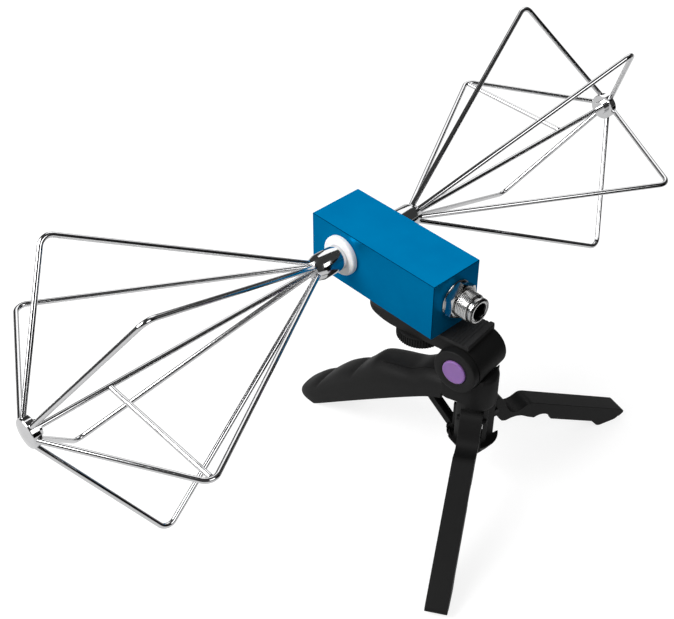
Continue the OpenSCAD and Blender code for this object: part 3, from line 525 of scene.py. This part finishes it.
# One tree repeats a shape round an axis: the washer's teeth and the thumbwheel's ribs
round_tree, inputs = geometry_tree("repeat round an axis", {"Count": "NodeSocketInt"})
spots = add(round_tree, "GeometryNodeMeshLine", {"Count": inputs["Count"], "Offset": (0.0, 0.0, 0.0)})
number = add(round_tree, "GeometryNodeInputIndex")
share = add(round_tree, "ShaderNodeMath", {0: number.outputs[0], 1: inputs["Count"]}, operation="DIVIDE")
turn = add(round_tree, "ShaderNodeMath", {0: share.outputs[0], 1: 2 * math.pi}, operation="MULTIPLY")
about = add(round_tree, "ShaderNodeCombineXYZ", {"Z": turn.outputs[0]})
copies = add(round_tree, "GeometryNodeInstanceOnPoints",
             {"Points": spots.outputs[0], "Instance": inputs["Geometry"], "Rotation": about.outputs[0]})
end_tree(round_tree, inputs, copies.outputs[0])

WASHER_TEETH = 48
washer_profile = [(NUT_BORE_R, 0.0), (10.2, 0.0), (10.4, 0.2), (10.4, 0.6), (10.2, 0.8), (NUT_BORE_R, 0.8)]
washer = piece("lock_washer", [turned(washer_profile, loop=True)], SOCKET, nickel)
fit(washer, "head", "nickel", "connector_washer")
tooth_points = [(10.1, -0.45, 0.0), (10.8, -0.35, 0.0), (10.8, 0.35, 0.3), (10.1, 0.45, 0.3),
                (10.1, -0.45, 0.5), (10.8, -0.35, 0.5), (10.8, 0.35, 0.8), (10.1, 0.45, 0.8)]
tooth_faces = [(3, 2, 1, 0), (4, 5, 6, 7), (0, 1, 5, 4), (1, 2, 6, 5), (2, 3, 7, 6), (3, 0, 4, 7)]
teeth = grown("washer_teeth", tooth_points, [], tooth_faces, round_tree,
              {"Count": WASHER_TEETH, "Material": nickel}, SOCKET)
fit(teeth, "head", "nickel")

# PTFE of the bead and of the bushes: milky white, slightly waxy
ptfe, tree, shader, place = start_finish("white PTFE")
cloud = noise(tree, place, grain=2.5, detail=2.0)
lathe_marks = noise(tree, place, grain=0.6, detail=2.0)
fill(tree, shader, {"Base Color": tones(tree, cloud, "#E6E5E6", "#F1F0F1"),
                    "Normal": bumps(tree, lathe_marks, strength=0.08, depth=0.04),
                    "Roughness": 0.38, "IOR": 1.38, "Subsurface Weight": 0.15, "Subsurface Scale": 1.5 * MM})
wear(ptfe, "connector_insulator")

# Gold plate on the contact and the feed wires: warm, polished, a little uneven
gold, tree, shader, place = start_finish("gold plated bronze")
cloud = noise(tree, place, grain=1.2, detail=2.0)
fill(tree, shader, {"Base Color": tones(tree, cloud, "#C29A45", "#DDB862"),
                    "Metallic": 1.0, "Roughness": 0.22})
wear(gold, "connector_pin", "left_lead", "right_lead")


# The balun inside the housing: a green circuit board on posts with a ferrite ring on it.
# Nothing of it shows while the base plate is on.
# Solder resist over glass cloth: glossy green with the weave faintly under it
CLOTH = 3 * MM
resist, tree, shader, place = start_finish("green solder resist")
cloth = add(tree, "ShaderNodeTexWave", {"Vector": place, "Scale": 1 / CLOTH, "Distortion": 1.0},
            wave_type="BANDS")
fill(tree, shader, {"Base Color": tones(tree, cloth.outputs["Fac"], "#17592F", "#1F6E3C"), "Roughness": 0.3})
wear(resist, "balun_board")

# Ferrite: sintered, dark grey, matt and grainy
ferrite, tree, shader, place = start_finish("sintered ferrite")
grit = noise(tree, place, grain=0.5, detail=4.0)
fill(tree, shader, {"Base Color": tones(tree, grit, "#2C2C2E", "#444447"), "Roughness": 0.7})
wear(ferrite, "balun_core")


# The insulating bushes: white plastic flanges turned from bar, one on each side wall.
# Each carries the stud of a hub through the wall.
def element_place(side):
    """Lays a shape that is drawn along +Z out along the antenna axis, to the left or to the right."""
    return (Matrix.Translation(AXIS) @ Matrix.Rotation(math.radians(0 if side > 0 else 180), 4, "Z")
            @ Matrix.Rotation(math.radians(-90), 4, "X") @ Matrix.Scale(MM, 4))


SIDES = (("left", -1), ("right", 1))
BUSH_BORE_R = 2.53
bush_profile = [(BUSH_BORE_R, 13.5), (6.0, 13.5), (6.0, 17.5), (11.5, 17.5), (11.8, 17.8), (11.8, 19.3),
                (11.7, 19.85), (11.4, 20.35), (10.9, 20.62), (10.3, 20.7), (BUSH_BORE_R, 20.7)]
for side_name, side in SIDES:
    bush = piece(side_name + "_flange_bush", [turned(bush_profile, loop=True)], element_place(side), ptfe)
    fit(bush, "head", "white_ptfe", side_name + "_bush")


# The cage elements: straight and bent rods of polished stainless steel, set in a turned hub
# at the bush and in a turned cap at the outer end. The rods are bent once, over a small radius.
# Polished steel: a clear mirror, its gloss a little uneven
bright, tree, shader, place = start_finish("polished stainless steel")
marks = noise(tree, place, grain=1.8, detail=3.0)
fill(tree, shader, {"Base Color": tones(tree, marks, "#CFCFD0", "#DFDFE0"),
                    "Roughness": between(tree, marks, 0.05, 0.16), "Metallic": 1.0})

ROD_R = 1.475
ROD_SIDES = 28
BEND_R = 6.0
BEND_STEPS = 16
rod_tree, inputs = geometry_tree("bent rods",
                                 {"Rod radius": "NodeSocketFloat", "Bend radius": "NodeSocketFloat"})
path = add(rod_tree, "GeometryNodeMeshToCurve", {"Mesh": inputs["Geometry"]})
bent = add(rod_tree, "GeometryNodeFilletCurve",
           {"Curve": path.outputs[0], "Radius": inputs["Bend radius"], "Count": BEND_STEPS}, mode="POLY")
wire = add(rod_tree, "GeometryNodeCurvePrimitiveCircle",
           {"Resolution": ROD_SIDES, "Radius": inputs["Rod radius"]})
swept = add(rod_tree, "GeometryNodeCurveToMesh",
            {"Curve": bent.outputs[0], "Profile Curve": wire.outputs[0], "Fill Caps": True})
end_tree(rod_tree, inputs, swept.outputs[0])

# Each bent rod runs through three points: distance from the axis, distance along the axis
RODS = 6
BENT_ROD = ((3.358, 37.5), (80.9, 173.4), (6.0, 217.74))
CENTRE_ROD = (37.5, 217.5)
CROSS_ROD = (77.0, ROD_R)
CROSS_Y = 171.97
# Degrees by which each cage is turned on its stud
CAGE_TURN = {"left": -2.2, "right": 1.2}
hub_profile = [(0.4, 7.5), (2.3, 7.5), (2.5, 7.8), (2.5, 20.7), (7.15, 20.7), (7.4, 20.95), (7.4, 35.3),
               (7.2, 35.7), (5.85, 39.8), (5.5, 40.1), (0.4, 40.1)]
cap_profile = [(0.4, 211.9), (4.1, 211.9), (4.3, 212.1), (4.3, 214.4), (7.7, 214.4), (8.0, 214.7),
               (8.0, 218.7), (7.7, 219.05), (1.0, 220.55), (0.4, 220.6)]


def spoke(degrees, r, y):
    """A point of a cage: an angle round the axis, a distance from it and one along it."""
    return r * math.cos(math.radians(degrees)), r * math.sin(math.radians(degrees)), y


for side_name, side in SIDES:
    laid_out = element_place(side)
    turn = CAGE_TURN[side_name]
    points = []
    edges = []
    for k in range(RODS):
        first = len(points)
        points += [spoke(turn - 60 * k, r, y) for r, y in BENT_ROD]
        edges += [(first, first + 1), (first + 1, first + 2)]
    first = len(points)
    points += [(0, 0, y) for y in CENTRE_ROD]
    points += [spoke(turn + 180, r, CROSS_Y) for r in CROSS_ROD]
    edges += [(first, first + 1), (first + 2, first + 3)]
    rods = grown(side_name + "_cage_rods", points, edges, [], rod_tree,
                 {"Rod radius": ROD_R, "Bend radius": BEND_R, "Material": bright}, laid_out)
    rod_nodes = [side_name + "_rod_" + str(k + 1) for k in range(RODS)]
    fit(rods, "head", "bright_rod", *rod_nodes, side_name + "_centre_rod", side_name + "_cross_rod")
    hub = piece(side_name + "_rod_hub", [turned(hub_profile)], laid_out, bright)
    fit(hub, "head", "bright_rod", side_name + "_hub")
    cap = piece(side_name + "_end_cap", [turned(cap_profile)], laid_out, bright)
    fit(cap, "head", "bright_rod", side_name + "_cap")


# The tripod head: a camera plate and its hinge barrel in one black moulding, a ribbed rubber
# pad on top, and under it the thumbwheel whose quarter-inch screw holds the housing.
# Moulded nylon: near black, with a fine spark-eroded grain that spreads the gloss
nylon, tree, shader, place = start_finish("moulded black nylon")
# The spark grain is about 0.1 mm; it is drawn at 0.6 mm so that it shows
spark = noise(tree, place, grain=0.6, detail=3.0)
flow = noise(tree, place, grain=18, detail=2.0)
fill(tree, shader, {"Base Color": tones(tree, flow, "#101010", "#161616"),
                    "Normal": bumps(tree, spark, strength=0.12, depth=0.06),
                    "Roughness": between(tree, spark, 0.5, 0.64), "IOR": 1.5, "Specular IOR Level": 0.2})

# Rubber: deep black and dull
rubber, tree, shader, place = start_finish("moulded black rubber")
dust = noise(tree, place, grain=1.0, detail=4.0)
fill(tree, shader, {"Base Color": tones(tree, dust, "#131313", "#1D1D1E"), "Roughness": 0.75})

plate = softened("camera_plate", "head_plate", nylon, radius=0.5)
fit(plate, "head", "black_plastic", "head_plate")
PAD_TOP = 99.8 * MM
CAD_GROOVE = (0.2 * MM, 0.5 * MM)
GROOVE_DEPTH = 0.22 * MM


def shallow(point):
    """Lifts the floors of the pad's grooves."""
    is_floor = CAD_GROOVE[0] < PAD_TOP - point.z < CAD_GROOVE[1]
    return Vector((point.x, point.y, PAD_TOP - GROOVE_DEPTH)) if is_floor else point


pad = softened("ribbed_pad", "plate_pad", rubber, radius=0.04, moved=shallow)
fit(pad, "head", "black_rubber", "plate_pad")

# The tripod's own frame: millimetres over the foot of the column, turned a little against the housing
COLUMN_FOOT = Vector((middle("hub_screw").x, middle("hub_screw").y, 0))
YAW = math.radians(8.5)
COLUMN = Matrix.Translation(COLUMN_FOOT) @ Matrix.Rotation(YAW, 4, "Z") @ Matrix.Scale(MM, 4)
WHEEL = COLUMN @ Matrix.Translation((-38, 0, 83.0))
WHEEL_T = 7.0
SCREW_R = 3.175
WHEEL_RIBS = 56
wheel_profile = [(0.4, 0.0), (12.0, 0.0), (13.0, 0.5), (13.2, 0.9), (13.2, 6.1), (13.0, 6.5), (12.0, WHEEL_T),
                 (SCREW_R, WHEEL_T), (SCREW_R, 19.9), (2.6, 20.4), (0.4, 20.4)]
wheel = piece("wheel_disc", [turned(wheel_profile)], WHEEL, nylon)
fit(wheel, "thumbwheel", "black_plastic", "thumbwheel")
rib_points = [(12.9, -0.5, 0.7), (13.6, -0.32, 0.9), (13.8, 0.0, 0.9), (13.6, 0.32, 0.9), (12.9, 0.5, 0.7),
              (12.9, -0.5, 6.3), (13.6, -0.32, 6.1), (13.8, 0.0, 6.1), (13.6, 0.32, 6.1), (12.9, 0.5, 6.3)]
rib_faces = [(0, 1, 2, 3, 4), (9, 8, 7, 6, 5), (1, 0, 5, 6), (2, 1, 6, 7), (3, 2, 7, 8), (4, 3, 8, 9),
             (0, 4, 9, 5)]
ribs = grown("wheel_ribs", rib_points, [], rib_faces, round_tree,
             {"Count": WHEEL_RIBS, "Material": nylon}, WHEEL)
fit(ribs, "thumbwheel", "black_plastic")


# The grip column: the button disc, the neck and the rails of the legs in one black moulding.
# The lock button sits in the disc on a spring washer. The CAD copy is trimmed to the round neck,
# and the neck's front and the disc are drawn as pieces of their own.
RAIL_R = 11.5
RAIL_TOP = 61.0
NECK_R = 11.9
NECK_LOW = 56.4
NECK_TOP = 79.4
NECK_TURNS = (-79.8, 88.4)
NECK_BACK = 13.9
NECK_COUNT = 180
BARREL = (-5.4, 84.0)
SADDLE_R = 13.8
DISC_BACK = -11.3
BUTTON_BACK = -13.8


def flat(outline, y):
    """A side outline laid at a distance from the middle."""
    return [(x, y, z) for x, z in outline]


def prism(outline, low, high):
    """A side outline given a width."""
    return loft([flat(outline, low), flat(outline, high)])


def bow(centre, radius, start, end, steps):
    """Points of an arc in a side outline."""
    turns = [math.radians(start + (end - start) * i / steps) for i in range(steps + 1)]
    return [(centre[0] + radius * math.cos(turn), centre[1] + radius * math.sin(turn)) for turn in turns]


def carve(made, shape, place, operation, crease):
    """Cuts a piece with a shape, or keeps only what lies inside the shape."""
    cutter = piece("cutter", [shape], place, nylon)
    cut = made.modifiers.new("cut", "BOOLEAN")
    cut.object = cutter
    cut.solver = "EXACT"
    cut.operation = operation
    mesh = bpy.data.meshes.new_from_object(made.evaluated_get(bpy.context.evaluated_depsgraph_get()))
    made.modifiers.clear()
    made.data = mesh
    bpy.data.objects.remove(cutter)
    shade(mesh, crease)


def neck_reach(turn):
    """Plan of the neck: a round front on the column's axis that runs out to a square back at the grip."""
    degrees = (math.degrees(turn) + 180) % 360 - 180
    if NECK_TURNS[0] < degrees < NECK_TURNS[1]:
        return NECK_R
    past = degrees - NECK_TURNS[0] if degrees < 0 else degrees - NECK_TURNS[1]
    side = NECK_R / max(0.05, math.cos(math.radians(past)))
    back = NECK_BACK / max(0.05, -math.cos(turn))
    return min(side, back)


def neck_arc(radius, height):
    """The round front of the neck at a height."""
    turns = [math.radians(a) for a in range(-80, 81, 4)]
    return [(radius * math.cos(turn), radius * math.sin(turn), height) for turn in turns]


def on_barrel(back):
    """Place of a shape that is turned about the head's hinge, with its back at a distance to the side."""
    on_axis = Matrix.Translation((BARREL[0], back, BARREL[1]))
    return COLUMN @ on_axis @ Matrix.Rotation(math.radians(90), 4, "X")


column = softened("grip_column", "column", nylon)
trim_steps = [(RAIL_R, 20), (RAIL_R, RAIL_TOP), (neck_reach, RAIL_TOP + 0.05), (neck_reach, NECK_TOP)]
trim = loft([ring(reach, height, NECK_COUNT) for reach, height in trim_steps])
carve(column, trim, COLUMN, "INTERSECT", crease=32)
fit(column, "column", "black_plastic", "column")
neck_steps = [(-1.6, 0), (-0.9, 0.2), (-0.45, 0.7), (-0.15, 1.5), (0.02, 2.6), (0.02, 19.2), (-0.2, 20.4),
              (-0.6, 21.2), (-1.2, 21.8), (-2.0, 22.2), (-3.0, 22.4), (-4.4, 22.4)]
neck_front = loft([neck_arc(NECK_R + out, NECK_LOW + up) for out, up in neck_steps])
neck = piece("round_neck", [neck_front], COLUMN, nylon)
saddle = bow(BARREL, SADDLE_R, 0, 356, 89)
carve(neck, prism(saddle, DISC_BACK, 30), COLUMN, "DIFFERENCE", crease=40)
fit(neck, "column", "black_plastic")
disc_profile = [(2.6, 0.0), (13.02, 0.0), (13.02, 3.9), (12.93, 4.25), (12.7, 4.5), (12.3, 4.62),
                (7.65, 4.62), (7.35, 4.4), (7.35, 1.0), (2.6, 1.0)]
disc = piece("button_disc", [turned(disc_profile, loop=True)], on_barrel(DISC_BACK), nylon, crease=50)
fit(disc, "column", "black_plastic")

# Dyed acetal: soft violet, satin, letting a little light in
violet, tree, shader, place = start_finish("violet acetal")
cloud = noise(tree, place, grain=4, detail=2.0)
fill(tree, shader, {"Base Color": tones(tree, cloud, "#875FA2", "#9068AB"), "Roughness": 0.35,
                    "Subsurface Weight": 0.12, "Subsurface Scale": 1.0 * MM})
button_profile = [(0.3, 0.0), (7.15, 0.0), (7.15, 2.3), (7.05, 2.65), (6.75, 2.88), (6.3, 2.97), (5.7, 2.9),
                  (4.0, 2.82), (0.3, 2.8)]
button = piece("release_button", [turned(button_profile)], on_barrel(BUTTON_BACK), violet)
fit(button, "lock_button", "purple_plastic", "lock_button")


# The lower hub: a conical nylon moulding, held under the column by one screw.
# Its thin rim is slotted for the two straight legs and cut away behind, toward the grip leg.
CONE_FOOT = 16.3 * MM
CONE_EDGE = 24.0 * MM
RIM_LOW = 31.0 * MM
RIM_HIGH = 31.6 * MM
WALL_R = 12.9 * MM
WALL_TOP = 28.4 * MM
STEP_R = (11.8 * MM, 12.3 * MM)
STEP_Z = 29.5 * MM
TAPER = 0.04


def thin_rim(point):
    """Draws the cone of the CAD hub up to a thin rim."""
    out = Vector((point.x - COLUMN_FOOT.x, point.y - COLUMN_FOOT.y, 0))
    rise = (point.z - CONE_FOOT) / (CONE_EDGE - CONE_FOOT)
    on_wall = out.length > WALL_R and point.z < WALL_TOP
    on_step = STEP_R[0] < out.length < STEP_R[1] and abs(point.z - STEP_Z) < 0.1 * MM
    height = point.z
    if rise < 1.01:
        height = CONE_FOOT + rise * (RIM_LOW - CONE_FOOT)
    elif on_wall or on_step:
        height = RIM_HIGH
    narrow = 1 - TAPER * max(0.0, min(1.0, rise))
    return Vector((COLUMN_FOOT.x + narrow * out.x, COLUMN_FOOT.y + narrow * out.y, height))


cup = softened("conical_hub", "lower_hub", nylon, moved=thin_rim)
fit(cup, "column", "black_plastic", "lower_hub")
LEG_SPREAD = 65.7
LEG_SLOT = [(5.5, 0), (30, 0), (30, 45), (5.5, 45)]
LEG_SLOT_HALF_W = 6.8
BACK_CUT = [(-40, 0), (-6, 0), (-6, 60), (-40, 60)]
top_profile = [(0.4, 26.0), (11.4, 26.0), (14.0, 30.6), (14.15, 31.2), (13.8, 31.62), (0.4, 31.62)]
hub_top = piece("hub_top", [turned(top_profile)], COLUMN, nylon)
for turn in (-LEG_SPREAD, LEG_SPREAD):
    slot_place = COLUMN @ Matrix.Rotation(math.radians(turn), 4, "Z")
    carve(hub_top, prism(LEG_SLOT, -LEG_SLOT_HALF_W, LEG_SLOT_HALF_W), slot_place, "DIFFERENCE", crease=35)
carve(hub_top, prism(BACK_CUT, -40, 40), COLUMN, "DIFFERENCE", crease=35)
fit(hub_top, "column", "black_plastic")


# The straight legs: two channel mouldings, hinged in the rails of the column.
# Each starts in a deep knuckle, dips behind it and then runs straight down to a rounded foot.
LEG_HINGE = (9.5, 49.0)
LEG_BORE_R = 1.75
LEG_HALF_W = 6.0
LEG_EDGE_R = 0.7
LEG_SLOPE = math.radians(27.5)
LEG_DEPTH = 11.5
LEG_TOE = 105.2
LEG_TOE_Z = 5.94
LEG_REACH = 106.6
CHANNEL_HALF_W = 3.7
CHANNEL_END = 82.6
CHANNEL_ROOF = 2.6


def leg_top(reach):
    """Height of the leg's straight upper line."""
    return LEG_TOE_Z + (LEG_TOE - reach) * math.tan(LEG_SLOPE)


# Along the top from the knuckle to the toe, round the foot, and back along the underside
leg_line = [(9.5, 56.0), (11.3, 55.95), (12.8, 55.6), (14.2, 54.7), (15.4, 53.1), (16.5, 50.9), (17.5, 48.3),
            (18.5, 45.8), (19.8, 43.5), (21.4, 41.7), (23.4, 40.6), (25.6, 40.2), (28, 40.5), (30, 41.3),
            (31.8, 42.2), (33.2, 42.6), (34.8, 42.3), (36.6, leg_top(36.6)), (LEG_TOE, leg_top(LEG_TOE)),
            (LEG_REACH, 4.4), (LEG_REACH, 3.0), (LEG_REACH - 2.6, 1.2)]
leg_line += bow((LEG_REACH - 7.1, 4.5), 4.5, -45, -90, 4)
leg_line += bow((LEG_REACH - 16.6, 5), 5, -90, -150, 5)
leg_line += [(reach, leg_top(reach) - LEG_DEPTH) for reach in (82.6, 51)]
leg_line += bow((41.5, 20.5), 9.5, 13, 111, 8)
leg_line += [(34, 31.8), (29, 35.2), (25.5, 36.4), (22, 36.7), (18, 36.2), (15.4, 37.2), (13.6, 39.5),
             (12.4, 42.2)]
leg_line += bow(LEG_HINGE, 6.2, -75, -255, 15)
channel = [(0, 60), (6.4, 60), (6.4, 45.6), (12.2, 45.2), (14.6, 40.3), (19, 38.2), (25, 37.5), (30, 38.4),
           (34, 39.7), (CHANNEL_END, leg_top(CHANNEL_END) - CHANNEL_ROOF), (CHANNEL_END, -5), (0, -5)]
leg_bore = bow(LEG_HINGE, LEG_BORE_R, 0, 345, 23)
for side_name, side in SIDES:
    leg_place = COLUMN @ Matrix.Rotation(math.radians(side * LEG_SPREAD), 4, "Z")
    leg = piece(side_name + "_straight_leg", [prism(leg_line, -LEG_HALF_W, LEG_HALF_W)], leg_place, nylon)
    soften(leg, LEG_EDGE_R, crease=40)
    carve(leg, prism(channel, -CHANNEL_HALF_W, CHANNEL_HALF_W), leg_place, "DIFFERENCE", crease=40)
    carve(leg, prism(leg_bore, -30, 30), leg_place, "DIFFERENCE", crease=40)
    leg.modifiers.new("even shading", "WEIGHTED_NORMAL").keep_sharp = True
    fit(leg, side_name + "_leg", "black_plastic", side_name + "_leg")


# The grip leg: a hollow moulding shaped for the fingers, hinged by a fork in the neck.
# Its strut runs from the lower hub up into the hollow.
GRIP = COLUMN @ Matrix.Rotation(math.pi, 4, "Z")
GRIP_START = (28.0, 69.7)
GRIP_SLOPE = math.radians(35.5)
GRIP_HALF_W = 13.4
GRIP_FROM = -20.0
# Heights along the grip: its grooved top, the same top without grooves, and its underside; then its width
GRIP_TOP = [(GRIP_FROM, -7.5), (-13, -4.8), (0, 0), (12, 0.6), (19.5, 3), (27, 6), (37, 8.9), (44, 7.6),
            (51, 5.6), (55.5, 4.6), (58.5, 3.4), (61, 4.4), (65, 5.0), (72, 4.9), (78, 3.9), (86, 2.0),
            (90, 0.8), (93, -0.6), (95.5, 0.2), (100, 0.6), (107, -0.3), (112, -1.2), (116, -3), (119, -6)]
GRIP_HULL = [(GRIP_FROM, -7.5), (-13, -4.8), (0, 0), (12, 0.6), (19.5, 3), (27, 6), (37, 8.4), (51, 7.2),
             (65, 5.6), (78, 4.0), (93, 2.0), (107, -0.3), (112, -1.2), (116, -3), (119, -6)]
GRIP_LOW = [(GRIP_FROM, -22.4), (-3.6, -17.1), (9.5, -15), (60, -13), (107, -12), (119, -11.8)]
GRIP_WIDTH = [(GRIP_FROM, 1), (90, 1), (97, 0.99), (103, 0.96), (108.5, 0.88), (113, 0.74), (116, 0.58),
              (119, 0.3)]
# Its section is fuller than a circle and widest at this share of its height
GRIP_FULLNESS = 0.8
WIDEST = 0.35
# The grooves lean and fade down the sides; the seam is a fine line at this angle of the section
GROOVE_LEAN = 4.5
GROOVE_FADE = 1.9
SEAM = 64.0
SEAM_DEPTH = 0.7
SEAM_RUN = (-8, 33)


def curve(table, s):
    """Height of a smooth curve through the points of a table."""
    i = next((k for k in range(1, len(table)) if table[k][0] >= s), len(table) - 1)
    (s0, v0), (s1, v1) = table[i - 1], table[i]
    s_before, v_before = table[max(0, i - 2)]
    s_after, v_after = table[min(len(table) - 1, i + 1)]
    span = s1 - s0
    t = (s - s0) / span
    start = span * (v1 - v_before) / (s1 - s_before)
    end = span * (v_after - v0) / (s_after - s0)
    return v0 + t * start + t * t * (3 * (v1 - v0) - 2 * start - end) + t ** 3 * (start + end - 2 * (v1 - v0))


def rounded(share):
    """Draws a part of a circle out toward a square."""
    return math.copysign(abs(share) ** GRIP_FULLNESS, share)


def grip_ring(s):
    """Section of the grip at a distance along it: the finger grooves lean toward the tip as they run down."""
    width = GRIP_HALF_W * curve(GRIP_WIDTH, s)
    low = curve(GRIP_LOW, s)
    hull = curve(GRIP_HULL, s)
    side = low + WIDEST * (hull - low)
    angles = sorted([180 * j / 48 for j in range(49)] + [SEAM + step for step in (-1.2, -0.4, 0.4, 1.2)])
    section = []
    for angle in angles:
        out = rounded(math.cos(math.radians(angle)))
        up = rounded(math.sin(math.radians(angle)))
        depth = max(0.0, 1 - GROOVE_FADE * (1 - up))
        grooved = curve(GRIP_TOP, max(GRIP_FROM, s - GROOVE_LEAN * (1 - up)))
        top = depth * grooved + (1 - depth) * hull
        height = side + (top - side) * up
        if abs(angle - SEAM) < 0.5 and SEAM_RUN[0] < s < SEAM_RUN[1]:
            height -= SEAM_DEPTH
        section.append((width * out, height))
    section += [(-width, low), (width, low)]
    return [(GRIP_START[0] + s * math.cos(GRIP_SLOPE) + h * math.sin(GRIP_SLOPE), y,
             GRIP_START[1] - s * math.sin(GRIP_SLOPE) + h * math.cos(GRIP_SLOPE)) for y, h in section]


# The sections lie closer together where the tip is rounded
grip_steps = [GRIP_FROM + 1.25 * i for i in range(101)] + [105 + 0.5 * i for i in range(1, 29)]
grip = piece("finger_grip", [loft([grip_ring(s) for s in grip_steps])], GRIP, nylon, crease=50)
hollow = [(17, 66), (28, 62.5), (40, 58), (52, 53), (66, 42), (77, 33), (90, 23.5), (100, 14), (103, 9),
          (103, -5), (17, -5)]
neck_slot = [(8, 69.4), (20, 69.4), (27, 68.3), (40, 60), (40, 20), (8, 20)]
above_floor = [(14.2, 0), (140, 0), (140, 110), (14.2, 110)]
for outline, half, operation in ((hollow, 10.2, "DIFFERENCE"), (neck_slot, 3.3, "DIFFERENCE"),
                                 (above_floor, 30, "INTERSECT")):
    carve(grip, prism(outline, -half, half), GRIP, operation, crease=50)
fit(grip, "grip_leg", "black_plastic", "grip_leg")

GRIP_HINGE = (9.5, 65.5)
GRIP_BORE_R = 1.56
CHEEKS = ((-9.6, -7.0), (7.0, 9.6))
cheek = [(16, 71.5), (18, 69), (18, 60), (16, 59)] + bow(GRIP_HINGE, 5, -90, -270, 15)
bore = []
for x, z in cheek:
    narrow = GRIP_BORE_R / math.hypot(x - GRIP_HINGE[0], z - GRIP_HINGE[1])
    bore.append((GRIP_HINGE[0] + narrow * (x - GRIP_HINGE[0]), GRIP_HINGE[1] + narrow * (z - GRIP_HINGE[1])))
fork_shapes = []
for low, high in CHEEKS:
    fork_rings = [flat(cheek, low), flat(cheek, high), flat(bore, high), flat(bore, low)]
    fork_shapes.append(loft(fork_rings, loop=True))
fork = piece("grip_fork", fork_shapes, GRIP, nylon)
fit(fork, "grip_leg", "black_plastic")
strut = softened("grip_brace", "grip_strut", nylon, radius=0.3)
fit(strut, "grip_strut", "black_plastic", "grip_strut")
